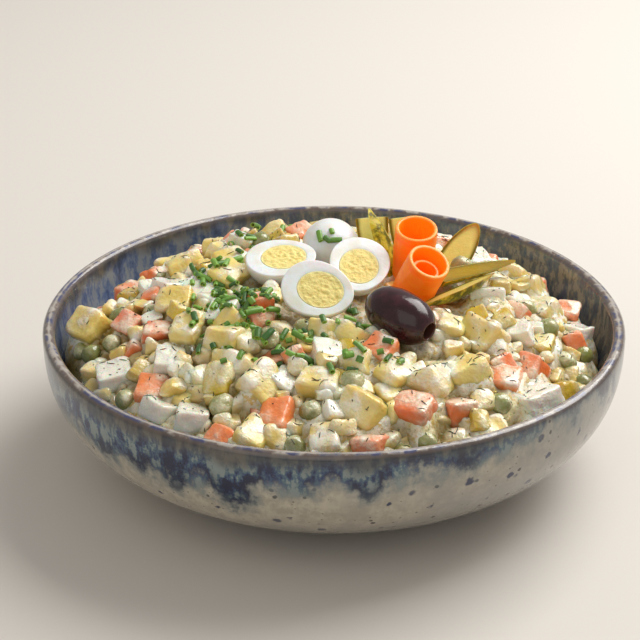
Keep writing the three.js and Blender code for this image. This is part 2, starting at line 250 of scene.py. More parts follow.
def at_points(value: np.ndarray, rows: int, around: int) -> np.ndarray:
    """A value given by a loft's rows or steps, at its points; the poles take the first and last.

    Args:
        value: an array that spreads over rows by steps, with any further axes of its own.
        rows: the loft's rows.
        around: the steps in each row.

    Returns:
        One value for each point.
    """
    own = value.shape[2:]
    full = np.broadcast_to(value, (rows, around, *own)).reshape(rows * around, *own)
    return np.concatenate([full, full[[0, -1]]])


def turned(line: np.ndarray, around: int) -> np.ndarray:
    """A profile turned about X: x stays, the radius times a cosine is y and times a sine is z.

    Args:
        line: rows of x and radius.
        around: steps in the full turn.

    Returns:
        Loops of points, rows by steps by three.
    """
    angle = angles(around)
    x, radius = line[:, :1], line[:, 1:]
    level = np.broadcast_to(x, (len(line), around))
    return np.stack([level, radius * np.cos(angle), radius * np.sin(angle)], -1)


def ring(loops: np.ndarray) -> Shape:
    """A skin that closes on itself both ways, such as a tube with a wall.

    Args:
        loops: rows by points round by three.

    Returns:
        The closed shape.
    """
    rows, around, _ = loops.shape
    index = np.arange(rows * around).reshape(rows, around)
    side = np.roll(index, -1, axis=1)
    after = np.roll(index, -1, axis=0)
    both = np.roll(side, -1, axis=0)
    quads = np.stack([index, side, both, after], -1).reshape(-1, 4)
    return Shape(loops.reshape(-1, 3), quads).outward()


def rounded_cube(divisions: int, power: float) -> Shape:
    """A cube of half size 1 with round edges: each point of a cube over its own power norm.

    The grid lines crowd towards the edges as a sine does, where the surface bends most.

    Args:
        divisions: faces along each edge.
        power: the norm's power, 2 being a ball and more a squarer cube.

    Returns:
        The closed shape.
    """
    line = np.sin(np.linspace(-1, 1, divisions + 1) * math.pi / 2)
    a, b = np.meshgrid(line, line, indexing="ij")
    one = np.ones_like(a)
    sides = [
        np.stack(order, -1)
        for end in (-one, one)
        for order in ((end, a * end, b), (b, end, a * end), (a * end, b, end))
    ]
    flat = np.round(np.stack(sides).reshape(-1, 3), 9)
    points, inverse = np.unique(flat, axis=0, return_inverse=True)
    index = inverse.reshape(6, divisions + 1, divisions + 1)
    corners = [index[:, :-1, :-1], index[:, 1:, :-1], index[:, 1:, 1:], index[:, :-1, 1:]]
    norm = (np.abs(points) ** power).sum(1, keepdims=True) ** (1 / power)
    return Shape(points / norm, np.stack(corners, -1).reshape(-1, 4)).outward()


@dataclass(frozen=True)
class Place:
    """Where a topping lies: its middle, the way its length runs and the way its face looks."""

    at: Triple
    along: Triple
    up: Triple = (0, 1, 0)

    def axes(self) -> np.ndarray:
        """Works out the piece's own axes: X along its length, Y square to up and X.

        Returns:
            The axes as rows.
        """
        x = np.array(self.along, float)
        x /= np.linalg.norm(x)
        y = np.cross(self.up, x)
        y /= np.linalg.norm(y)
        return np.stack([x, y, np.cross(x, y)])

    def put(self, shape: Shape) -> Shape:
        """The shape carried to this place."""
        shape.points = shape.points @ self.axes() + np.array(self.at)
        return shape


class Tree:
    """Short calls for the nodes of one material."""

    def __init__(self, name: str) -> None:
        """Starts an empty material.

        Args:
            name: the material's name.
        """
        self.material = bpy.data.materials.new(name)
        self.material.use_nodes = True
        self.nodes = self.material.node_tree.nodes
        self.nodes.clear()

    def feed(self, socket: Socket, value: Feed) -> None:
        """Links a socket to another one, or sets its value.

        Args:
            socket: the input.
            value: an output, a number, a colour or a vector; nothing leaves the input alone.
        """
        if isinstance(value, Socket):
            self.material.node_tree.links.new(value, socket)
        elif isinstance(value, tuple) and socket.type == "RGBA":
            socket.default_value = (*value, 1)
        elif value is not None:
            socket.default_value = value

    def node(self, kind: str, feeds: dict[Key, Feed], out: Key = 0, **settings: str) -> Socket:
        """Adds a node.

        Args:
            kind: its type, after the words that all of them begin with.
            feeds: what goes into its inputs, by name or number.
            out: the output that is wanted.
            settings: its own settings.

        Returns:
            That output.
        """
        made = self.nodes.new(f"ShaderNode{kind}")
        for name, value in settings.items():
            setattr(made, name, value)
        for key, value in feeds.items():
            self.feed(made.inputs[key], value)
        return made.outputs[out]

    def place(self) -> Socket:
        """The point in the object's own metres."""
        return self.node("TexCoord", {}, "Object")

    def value(self, name: str) -> Socket:
        """A number kept at the points of the mesh."""
        return self.node("Attribute", {}, "Fac", attribute_name=name)

    def vector(self, name: str) -> Socket:
        """A vector kept at the points of the mesh."""
        return self.node("Attribute", {}, "Vector", attribute_name=name)

    def maths(self, operation: str, a: Feed, b: Feed) -> Socket:
        """One sum of two numbers."""
        return self.node("Math", {0: a, 1: b}, operation=operation)

    def times(self, a: Feed, b: Feed) -> Socket:
        """The product of two numbers."""
        return self.maths("MULTIPLY", a, b)

    def blend(self, *parts: tuple[Feed, float]) -> Socket:
        """Adds up sockets, each times its own weight.

        Args:
            parts: sockets and their weights.

        Returns:
            The sum.
        """
        total = self.times(*parts[0])
        for part in parts[1:]:
            total = self.maths("ADD", total, self.times(*part))
        return total

    def step(self, source: Feed, low: float, high: float) -> Socket:
        """A smooth step from 0 at low to 1 at high."""
        return self.node("MapRange", {0: source, 1: low, 2: high}, interpolation_type="SMOOTHSTEP")

    def spread(self, source: Feed, low: float, high: float) -> Socket:
        """A share from 0 to 1 carried to the range from low to high."""
        return self.node("MapRange", {0: source, 3: low, 4: high})

    def mix(self, share: Feed, a: Feed, b: Feed, way: str = "MIX") -> Socket:
        """A colour the share of the way from a to b, or to their blend in another way."""
        return self.node("Mix", {0: share, 6: a, 7: b}, 2, data_type="RGBA", blend_type=way)

    def gap_shade(self, colour: Feed) -> Socket:
        """The salad's colour darkened by painted shade, as far as its points lie sunk in the gaps."""
        return self.mix(self.value("sunk"), colour, GAP_TINT, "MULTIPLY")

    def palette(self, share: Feed, stops: Palette) -> Socket:
        """Reads a colour from a ramp.

        Args:
            share: where along the ramp.
            stops: positions and colours, in order.

        Returns:
            The colour.
        """
        colour = self.node("ValToRGB", {0: share})
        band = colour.node.color_ramp
        while len(band.elements) < len(stops):
            band.elements.new(1.0)
        for element, (position, tint) in zip(band.elements, stops):
            element.position = position
            element.color = (*tint, 1)
        return colour

    def noise(self, at: Feed, scale: float, detail: float = 2, rough: float = 0.5) -> Socket:
        """Noise from 0 to 1, scale being its lumps in each unit of the vector."""
        return self.node("TexNoise", {"Vector": at, "Scale": scale, "Detail": detail, "Roughness": rough})

    def cells(self, at: Feed, scale: float) -> Socket:
        """The distance to the nearest of scattered points, in cells."""
        return self.node("TexVoronoi", {"Vector": at, "Scale": scale}, "Distance")

    def stretched(self, at: Feed, size: Triple) -> Socket:
        """A vector with each axis times its own factor."""
        return self.node("Mapping", {"Vector": at, "Scale": size})

    def bump(self, height: Feed, depth: float, under: Feed = None) -> Socket:
        """A normal from a height that stands for depth millimetres, over another normal."""
        return self.node("Bump", {"Distance": depth * MM, "Height": height, "Normal": under})

    def surface(self, colour: Feed, rough: Feed, normal: Feed = None, **constants: Feed) -> Material:
        """Ends the material in one shader.

        Args:
            colour: the base colour.
            rough: the roughness.
            normal: the bumped normal.
            constants: values for the shader's own sockets, by name with lines for spaces.

        Returns:
            The finished material.
        """
        shader = self.node("BsdfPrincipled", {"Base Color": colour, "Roughness": rough, "Normal": normal})
        for name, value in constants.items():
            shader.node.inputs[name.replace("_", " ")].default_value = value
        output = self.nodes.new("ShaderNodeOutputMaterial")
        self.feed(output.inputs["Surface"], shader)
        return self.material


def link(name: str, data: bpy.types.ID) -> bpy.types.Object:
    """Puts data into the scene.

    Args:
        name: the object's name.
        data: its mesh, lamp or camera.

    Returns:
        The new object.
    """
    made = bpy.data.objects.new(name, data)
    bpy.context.scene.collection.objects.link(made)
    return made


def make_piece(
    name: str, shape: Shape, material: Material, slot: str, *replaces: str, crease: float | None = None
) -> None:
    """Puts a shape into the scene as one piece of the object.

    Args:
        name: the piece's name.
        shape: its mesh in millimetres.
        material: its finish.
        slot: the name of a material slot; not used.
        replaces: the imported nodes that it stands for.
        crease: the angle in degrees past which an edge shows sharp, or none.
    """
    mesh = bpy.data.meshes.new(name)
    corners = np.concatenate([shape.quads.ravel(), shape.tris.ravel()]).astype(np.int32)
    starts = np.concatenate([
        np.arange(len(shape.quads)) * 4,
        len(shape.quads) * 4 + np.arange(len(shape.tris)) * 3,
    ]).astype(np.int32)
    mesh.vertices.add(len(shape.points))
    mesh.vertices.foreach_set("co", (shape.points * MM).astype(np.float32).ravel())
    mesh.loops.add(len(corners))
    mesh.loops.foreach_set("vertex_index", corners)
    mesh.polygons.add(len(starts))
    mesh.polygons.foreach_set("loop_start", starts)
    mesh.polygons.foreach_set("use_smooth", np.ones(len(starts), bool))
    mesh.update(calc_edges=True)
    if crease is not None:
        mesh.set_sharp_from_angle(angle=math.radians(crease))
    for key, value in shape.values.items():
        kind, part = ("FLOAT", "value") if value.ndim == 1 else ("FLOAT_VECTOR", "vector")
        layer = mesh.attributes.new(key, kind, "POINT")
        layer.data.foreach_set(part, value.astype(np.float32).ravel())
    mesh.materials.append(material)
    piece = link(name, mesh)
    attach(piece, "root")
    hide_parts(*replaces)
    count = 2 * len(shape.quads) + len(shape.tris)
    LOG.info("%s: %d triangles, stands for %s", name, count, ", ".join(replaces))


def wall_curve(start: tuple[float, float], end: tuple[float, float], steps: int) -> np.ndarray:
    """A bowl wall: a power of a sine outwards, one less a power of a cosine upwards.

    Args:
        start: radius and height at the wall's foot.
        end: radius and height at its top.
        steps: points along it.

    Returns:
        Rows of radius and height.
    """
    angle = np.linspace(0, math.pi / 2, steps)
    out = np.sin(angle) ** WALL_SPREAD
    up = 1 - np.clip(np.cos(angle), 0, 1) ** WALL_RISE
    return np.stack([between(start[0], end[0], out), between(start[1], end[1], up)], -1)


CAVITY_FLOOR = FLOOR_HEIGHT + CLEAR
CAVITY = wall_curve((FLOOR_RADIUS - CLEAR, CAVITY_FLOOR), (INSIDE_RADIUS - CLEAR, LIP_HEIGHT), 200)


def cavity_radius(height: np.ndarray) -> np.ndarray:
    """How far from the axis the contents may reach at a height."""
    return np.interp(height, CAVITY[:, 1], CAVITY[:, 0])


def held_inside(points: np.ndarray) -> np.ndarray:
    """Draws any points that would cross the bowl's wall straight in to it.

    Args:
        points: places in millimetres.

    Returns:
        The points, each one's x and y times the largest share up to 1 that keeps it inside.
    """
    reach = np.hypot(points[..., 0], points[..., 1])
    share = np.minimum(1, cavity_radius(points[..., 2]) / np.maximum(reach, 1e-6))
    return np.concatenate([points[..., :2] * share[..., None], points[..., 2:]], -1)


def core_height(x: np.ndarray, y: np.ndarray) -> np.ndarray:
    """The heap's dome: its crown less a power of the distance from the axis."""
    return BOWL_HEIGHT + CORE_CROWN - DOME_DROP * (np.hypot(x, y) / DOME_RADIUS) ** DOME_POWER


def swell(x: np.ndarray, y: np.ndarray) -> np.ndarray:
    """The slow rise and fall of the heap: a sine across times a cosine away."""
    return SWELL * np.sin(x / 17 + 1) * np.cos(y / 15 - 0.5)


@dataclass(frozen=True)
class Glaze:
    """Glossy stoneware glaze: blotchy blue and teal that ran down from the lip over cream.

    The blue is darkest along its lower edge. Inside, it turns browner and a little darker to the right,
    partly the glaze's own colour and partly painted shade, the left wall being painted as lit. Patches
    along the lip's crest carry a painted highlight.
    """

    cream: Colour = srgb(190, 180, 160)
    cream_dark: Colour = srgb(164, 156, 140)
    cool: Colour = srgb(136, 133, 128)
    speck: Colour = srgb(54, 46, 44)
    spot: Colour = srgb(44, 50, 76)
    haze: Colour = srgb(112, 122, 122)
    deep: Colour = srgb(10, 17, 48)
    slate: Colour = srgb(60, 60, 60)
    brown: Colour = srgb(88, 78, 66)
    # A painted highlight for the lip's crest
    lip_light: Colour = srgb(178, 170, 160)
    lip_brown: Colour = srgb(104, 86, 76)
    streaks: Palette = ramp(
        (0.83, 19, 31, 68), (0.89, 50, 72, 106), (0.95, 80, 104, 116), (0.975, 96, 116, 120),
        (1.0, 128, 138, 136),
    )
    near_inside: Palette = ramp(
        (0.76, 62, 74, 106), (0.85, 80, 98, 138), (0.94, 104, 118, 146), (1.0, 128, 136, 148),
    )
    far_inside: Palette = ramp(
        (0.82, 64, 68, 92), (0.91, 80, 92, 104), (0.97, 104, 102, 100), (1.0, 132, 126, 118),
    )
    lip: Palette = ramp(
        (0.42, 62, 68, 108), (0.46, 112, 108, 112), (0.5, 104, 86, 76), (0.56, 178, 170, 160),
        (0.62, 62, 68, 108),
    )

    def body(self, tree: Tree, at: Socket, fall: Socket, right: Socket) -> Socket:
        """Cream with soft blotches, cooler low down and to the right, and specks of three sizes.

        Args:
            tree: the glaze's nodes.
            at: the point in metres.
            fall: millimetres down the wall from the lip's crest.
            right: metres to the right.

        Returns:
            The colour below the blue.
        """
        blotch = tree.noise(at, 150, 4, 0.65)
        wide = tree.noise(at, 38)
        brushed = tree.noise(tree.vector("wrap"), 0.7, 3, 0.6)
        tone = tree.blend((blotch, 0.7), (brushed, 0.3))
        colour = tree.mix(tree.step(tone, 0.4, 0.62), self.cream_dark, self.cream)
        cool = tree.step(tree.blend((fall, 0.012), (wide, 0.9), (brushed, 0.5), (right, 6)), 0.9, 1.5)
        colour = tree.mix(tree.times(cool, 0.7), colour, self.cool)
        ragged = tree.noise(at, 600)
        large = tree.step(tree.blend((tree.cells(at, 66), 1), (ragged, 0.1)), 0.2, 0.13)
        middle = tree.step(tree.blend((tree.cells(at, 130), 1), (ragged, 0.14)), 0.22, 0.15)
        small = tree.step(tree.blend((tree.cells(at, 300), 1), (wide, 0.3)), 0.3, 0.2)
        colour = tree.mix(tree.times(large, 0.85), colour, self.spot)
        specks = tree.maths("MAXIMUM", middle, tree.times(small, 0.75))
        return tree.mix(tree.times(specks, 0.9), colour, self.speck)

    def build(self) -> Material:
        """Zones by the fall from the lip's crest, broken up by flow, mottles and fine speckle.

        The blue reaches down where the run kept at the points is larger than the fall, and every
        edge between two zones is such a difference with noise added.

        Returns:
            The material.
        """
        tree = Tree("glaze")
        wrap, at = tree.vector("wrap"), tree.place()
        fall, run = tree.value("fall"), tree.value("run")
        right = tree.node("SeparateXYZ", {0: at}, "X")
        flow = tree.noise(wrap, 0.17, 3, 0.55)
        streak = tree.noise(wrap, 0.42, 3, 0.55)
        mottle = tree.noise(at, 190, 3, 0.6)
        speckle = tree.noise(at, 800, 2, 0.6)
        lobes = tree.noise(at, 55)
        tone = tree.blend((flow, 0.55), (mottle, 0.42), (streak, 0.45), (lobes, 0.3), (speckle, 0.16))
        reach = tree.blend(
            (run, 1), (flow, 14), (lobes, 22), (mottle, 14), (streak, 6), (speckle, 5), (fall, -1),
        )
        aged = tree.blend((tone, 1), (tree.step(reach, 30, 46), 0.08), (1.0, -0.045))
        hazy = tree.times(tree.step(reach, 19, 29), 0.75)
        below = tree.mix(hazy, self.body(tree, at, fall, right), self.haze)
        spotted = tree.step(tree.blend((tree.value("spot"), 1), (mottle, 0.9)), 0.75, 1.05)
        below = tree.mix(spotted, below, self.spot)
        tip = tree.times(tree.step(tree.value("drip"), 1.5, 5), tree.step(reach, 42, 31))
        above = tree.mix(tree.times(tip, 0.75), tree.palette(aged, self.streaks), self.deep)
        outside = tree.mix(tree.step(reach, 25, 31.5), below, above)
        # Inside: a copy painted as lit on the left, and a browner copy on the right, partly the glaze's
        # own colour and partly painted shade
        rightward = tree.step(tree.blend((right, 1), (mottle, 0.05)), -0.045, 0.03)
        inside = tree.mix(
            rightward, tree.palette(tone, self.near_inside), tree.palette(tone, self.far_inside),
        )
        wall = tree.mix(tree.value("inside"), outside, inside)
        edge = tree.blend((fall, 1), (mottle, -4), (lobes, -6), (run, -0.25))
        band = tree.mix(tree.step(flow, 0.42, 0.6), self.slate, self.brown)
        wall = tree.mix(tree.times(tree.step(edge, 1.5, -5), 0.85), wall, band)
        wall = tree.mix(tree.times(tree.step(fall, 3.8, 2.2), 0.6), wall, self.lip_brown)
        lip = tree.palette(tree.blend((tree.noise(at, 90), 0.75), (mottle, 0.25)), self.lip)
        # Painted highlight: the lip's crest turns light in patches where the mottle is strong
        crest = tree.blend((fall, 1), (mottle, -2))
        lip = tree.mix(tree.step(crest, -1.2, 0.0), self.lip_light, lip)
        return tree.surface(
            tree.mix(tree.step(crest, 1.4, -0.2), wall, lip),
            tree.spread(speckle, 0.14, 0.3),
            tree.bump(tree.blend((flow, 0.6), (mottle, 0.25)), 0.35),
            Coat_Weight=0.35, Coat_Roughness=0.1,
        )


# Painted shade: the tint that darkens the salad's colour where it lies sunk in the gaps between pieces
GAP_TINT = srgb(148, 132, 78)
CREAM_WHITE = srgb(250, 246, 236)


@dataclass(frozen=True)
class Cream:
    """Mayonnaise dressing: glossy, pale, with crushed potato and yolk in it, and painted shade in the
    gaps.
    """

    light: Colour = srgb(250, 243, 226)
    warm: Colour = srgb(236, 218, 166)
    mash: Colour = srgb(226, 194, 112)
    green: Colour = srgb(160, 154, 90)

    def build(self) -> Material:
        """Two creams blended by broad noise, soft patches of mash and green, and a lumpy bump.

        Returns:
            The material.
        """
        tree = Tree("dressing_cream")
        at = tree.place()
        broad = tree.noise(at, 110, 3)
        lump = tree.noise(at, 330, 3, 0.6)
        fine = tree.noise(at, 1000, 3, 0.6)
        colour = tree.mix(tree.step(broad, 0.42, 0.66), self.light, self.warm)
        colour = tree.mix(tree.step(lump, 0.52, 0.64), colour, self.mash)
        greener = tree.step(tree.blend((lump, -1), (broad, 0.5)), -0.14, -0.02)
        # The colour takes painted shade where the dressing lies sunk in the gaps
        return tree.surface(
            tree.gap_shade(tree.mix(greener, colour, self.green)),
            tree.spread(fine, 0.2, 0.42),
            tree.bump(tree.blend((lump, 1), (fine, 0.25)), 1.0),
            Subsurface_Weight=0.3, Subsurface_Scale=0.004,
        )


@dataclass(frozen=True)
class Coated:
    """A piece of the salad under a film of dressing that covers parts of it, with painted shade in the
    gaps.
    """

    name: str
    core: Colour
    deep: Colour
    film: Colour
    veil: float
    relief: float = 0.25
    rough: float = 0.34
    glow: float = 0.35

    def build(self) -> Material:
        """The film's edge follows the film value kept at the points, broken up by finer noise.

        Returns:
            The material.
        """
        tree = Tree(self.name)
        at = tree.place()
        broad = tree.noise(at, 260)
        middle = tree.noise(at, 520, 3, 0.6)
        fine = tree.noise(at, 1300)
        tone = tree.blend((tree.value("shade"), 0.55), (middle, 0.6))
        flesh = tree.mix(tree.step(tone, 0.25, 0.95), self.core, self.deep)
        wet = tree.blend((tree.value("film"), 1), (middle, 0.8), (fine, 0.25))
        thin = tree.step(wet, 0.25, 1.15)
        thick = tree.step(wet, 0.72, 1.3)
        cover = tree.blend((thin, 0.5), (thick, 0.4), (middle, self.veil))
        colour = tree.mix(cover, flesh, self.film)
        colour = tree.mix(tree.times(tree.step(wet, 1.2, 1.5), 0.6), colour, CREAM_WHITE)
        film_edge = tree.bump(tree.blend((thick, 0.4), (broad, 1)), 0.7)
        # The colour takes painted shade where the piece lies sunk in the gaps
        return tree.surface(
            tree.gap_shade(colour),
            tree.spread(fine, self.rough - 0.1, self.rough + 0.12),
            tree.bump(tree.blend((middle, 0.7), (fine, 0.2)), self.relief, film_edge),
            Subsurface_Weight=self.glow, Subsurface_Scale=0.004, Coat_Weight=0.8, Coat_Roughness=0.08,
        )


@dataclass(frozen=True)
class EggWhite:
    """Boiled egg white: smooth, bluish white and faintly clear."""

    face: Colour = srgb(236, 238, 238)
    skin: Colour = srgb(228, 226, 214)

    def build(self) -> Material:
        """Nearly plain, with a slow change of tone and a shallow dimple.

        Returns:
            The material.
        """
        tree = Tree("egg_white")
        at = tree.place()
        broad = tree.noise(at, 130)
        return tree.surface(
            tree.mix(tree.step(broad, 0.4, 0.7), self.face, self.skin),
            tree.spread(broad, 0.22, 0.36),
            tree.bump(tree.blend((broad, 0.7), (tree.noise(at, 900), 0.3)), 0.2),
            Subsurface_Weight=0.35, Subsurface_Scale=0.005,
        )


@dataclass(frozen=True)
class Yolk:
    """Boiled yolk: pale, crumbly, with painted shade in its pits."""

    light: Colour = srgb(243, 224, 140)
    pit: Colour = srgb(228, 192, 92)
    rim: Colour = srgb(246, 232, 170)

    def build(self) -> Material:
        """Crumbs and long cracks by noise, with painted shade where the bump sinks, paler towards the
        rim.

        Returns:
            The material.
        """
        tree = Tree("egg_yolk")
        at = tree.place()
        crumb = tree.noise(at, 800, 4, 0.75)
        cracks = tree.noise(tree.stretched(at, (140, 420, 420)), 1, 4, 0.65)
        tone = tree.blend((crumb, 0.45), (cracks, 0.65))
        # Painted shade: the pits and cracks, low in the bump, take the darker colour
        colour = tree.mix(tree.step(tone, 0.36, 0.56), self.pit, self.light)
        colour = tree.mix(tree.value("rim"), colour, self.rim)
        return tree.surface(
            colour, 0.6, tree.bump(tone, 0.9), Subsurface_Weight=0.2, Subsurface_Scale=0.002,
        )


@dataclass(frozen=True)
class OliveSkin:
    """Dark purple-brown olive skin, shiny and faintly wrinkled."""

    dark: Colour = srgb(46, 16, 22)
    plum: Colour = srgb(70, 30, 38)
    flesh: Colour = srgb(84, 52, 44)

    def build(self) -> Material:
        """Plum patches over near black, the cut end browner.

        Returns:
            The material.
        """
        tree = Tree("olive_skin")
        at = tree.place()
        patch = tree.noise(at, 150, 3, 0.6)
        fleck = tree.noise(at, 900)
        colour = tree.mix(tree.step(patch, 0.45, 0.75), self.dark, self.plum)
        return tree.surface(
            tree.mix(tree.value("cut"), colour, self.flesh),
            tree.spread(fleck, 0.16, 0.28),
            tree.bump(tree.blend((patch, 0.6), (fleck, 0.2)), 0.35),
            Specular_IOR_Level=0.3, Coat_Weight=0.4, Coat_Roughness=0.04,
        )


@dataclass(frozen=True)
class CarrotRibbon:
    """Raw carrot ribbon: bright orange that light shines through, yellower inside the roll, with a
    painted glow.
    """

    bright: Colour = srgb(255, 138, 16)
    deep: Colour = srgb(255, 112, 6)
    edge: Colour = srgb(255, 170, 84)
    hollow: Colour = srgb(255, 168, 26)
    # The colour of the painted glow
    glow: Colour = srgb(255, 120, 10)

    def build(self) -> Material:
        """Faint fibres along the ribbon, the cut edge paler, and a faint painted glow, an emission that
        stands in for light let through.

        Returns:
            The material.
        """
        tree = Tree("carrot_ribbon")
        fibre = tree.noise(tree.stretched(tree.vector("wrap"), (0.05, 0.5, 1)), 1, 3, 0.6)
        fine = tree.noise(tree.place(), 900)
        colour = tree.mix(tree.step(fibre, 0.3, 0.75), self.bright, self.deep)
        colour = tree.mix(tree.value("hollow"), colour, self.hollow)
        # The emission is a painted glow for light let through the ribbon, not a lamp
        return tree.surface(
            tree.mix(tree.times(tree.value("rim"), 0.8), colour, self.edge),
            tree.spread(fine, 0.28, 0.42),
            tree.bump(fine, 0.12),
            Subsurface_Weight=0.8, Subsurface_Scale=0.003, Subsurface_Radius=(1.0, 0.4, 0.1),
            Emission_Color=(*self.glow, 1), Emission_Strength=0.14,
        )


@dataclass(frozen=True)
class Pickle:
    """Pickled gherkin: a moist cut face, a bumpy mottled skin, and a faint painted glow for light let
    through it.
    """

    face: Colour = srgb(130, 104, 2)
    core: Colour = srgb(154, 124, 8)
    pale: Colour = srgb(254, 246, 150)
    rind: Colour = srgb(88, 96, 20)
    skin: Colour = srgb(188, 172, 46)
    mottle: Colour = srgb(84, 80, 18)
    # The colour of the painted glow
    glow: Colour = srgb(190, 178, 40)

    def build(self) -> Material:
        """Face and skin by the skin value, paler slices by the pale value, mottles by noise.

        Returns:
            The material.
        """
        tree = Tree("gherkin_pickle")
        at = tree.place()
        skin, middle = tree.value("skin"), tree.value("middle")
        patch = tree.noise(at, 300, 3, 0.65)
        broad = tree.noise(at, 90)
        fine = tree.noise(at, 1000)
        tone = tree.blend((middle, 0.8), (broad, 0.5))
        face = tree.mix(tree.step(tone, 0.3, 1.0), self.face, self.core)
        inner = tree.step(tree.blend((middle, 1), (broad, 0.3)), 0.12, 0.7)
        face = tree.mix(tree.times(tree.value("pale"), inner), face, self.pale)
        face = tree.mix(tree.step(skin, 0.05, 0.5), face, self.rind)
        mottled = tree.step(tree.blend((patch, 1), (broad, 0.4)), 0.6, 0.82)
        # The emission is a painted glow for light let through the slice, not a lamp
        return tree.surface(
            tree.mix(tree.step(skin, 0.8, 1), face, tree.mix(mottled, self.skin, self.mottle)),
            tree.spread(fine, 0.26, 0.42),
            tree.bump(tree.blend((patch, 0.8), (fine, 0.3)), 0.5),
            Subsurface_Weight=0.4, Subsurface_Scale=0.004, Specular_IOR_Level=0.22,
            Emission_Color=(*self.glow, 1), Emission_Strength=0.06,
        )


@dataclass(frozen=True)
class ChiveSkin:
    """Fresh chive: green, lighter inside the tube, some darker than others."""

    green: Colour = srgb(124, 170, 66)
    dark: Colour = srgb(58, 100, 42)
    inside: Colour = srgb(164, 198, 84)

    def build(self) -> Material:
        """Tone by each cutting's own shade.

        Returns:
            The material.
        """
        tree = Tree("chive_green")
        fleck = tree.noise(tree.place(), 900)
        tone = tree.blend((tree.value("shade"), 0.8), (fleck, 0.35))
        colour = tree.mix(tree.step(tone, 0.15, 0.95), self.green, self.dark)
        colour = tree.mix(tree.value("inner"), colour, self.inside)
        return tree.surface(
            colour, 0.36, tree.bump(fleck, 0.15), Subsurface_Weight=0.15, Subsurface_Scale=0.001,
        )


@dataclass(frozen=True)
class DillLeaf:
    """Chopped dill: thin dark green threads."""

    green: Colour = srgb(72, 86, 50)
    dark: Colour = srgb(38, 50, 32)

    def build(self) -> Material:
        """Two greens by each thread's own shade.

        Returns:
            The material.
        """
        tree = Tree("dill_leaf")
        tone = tree.blend((tree.value("shade"), 0.8), (tree.noise(tree.place(), 1200), 0.2))
        return tree.surface(tree.mix(tone, self.green, self.dark), 0.5)


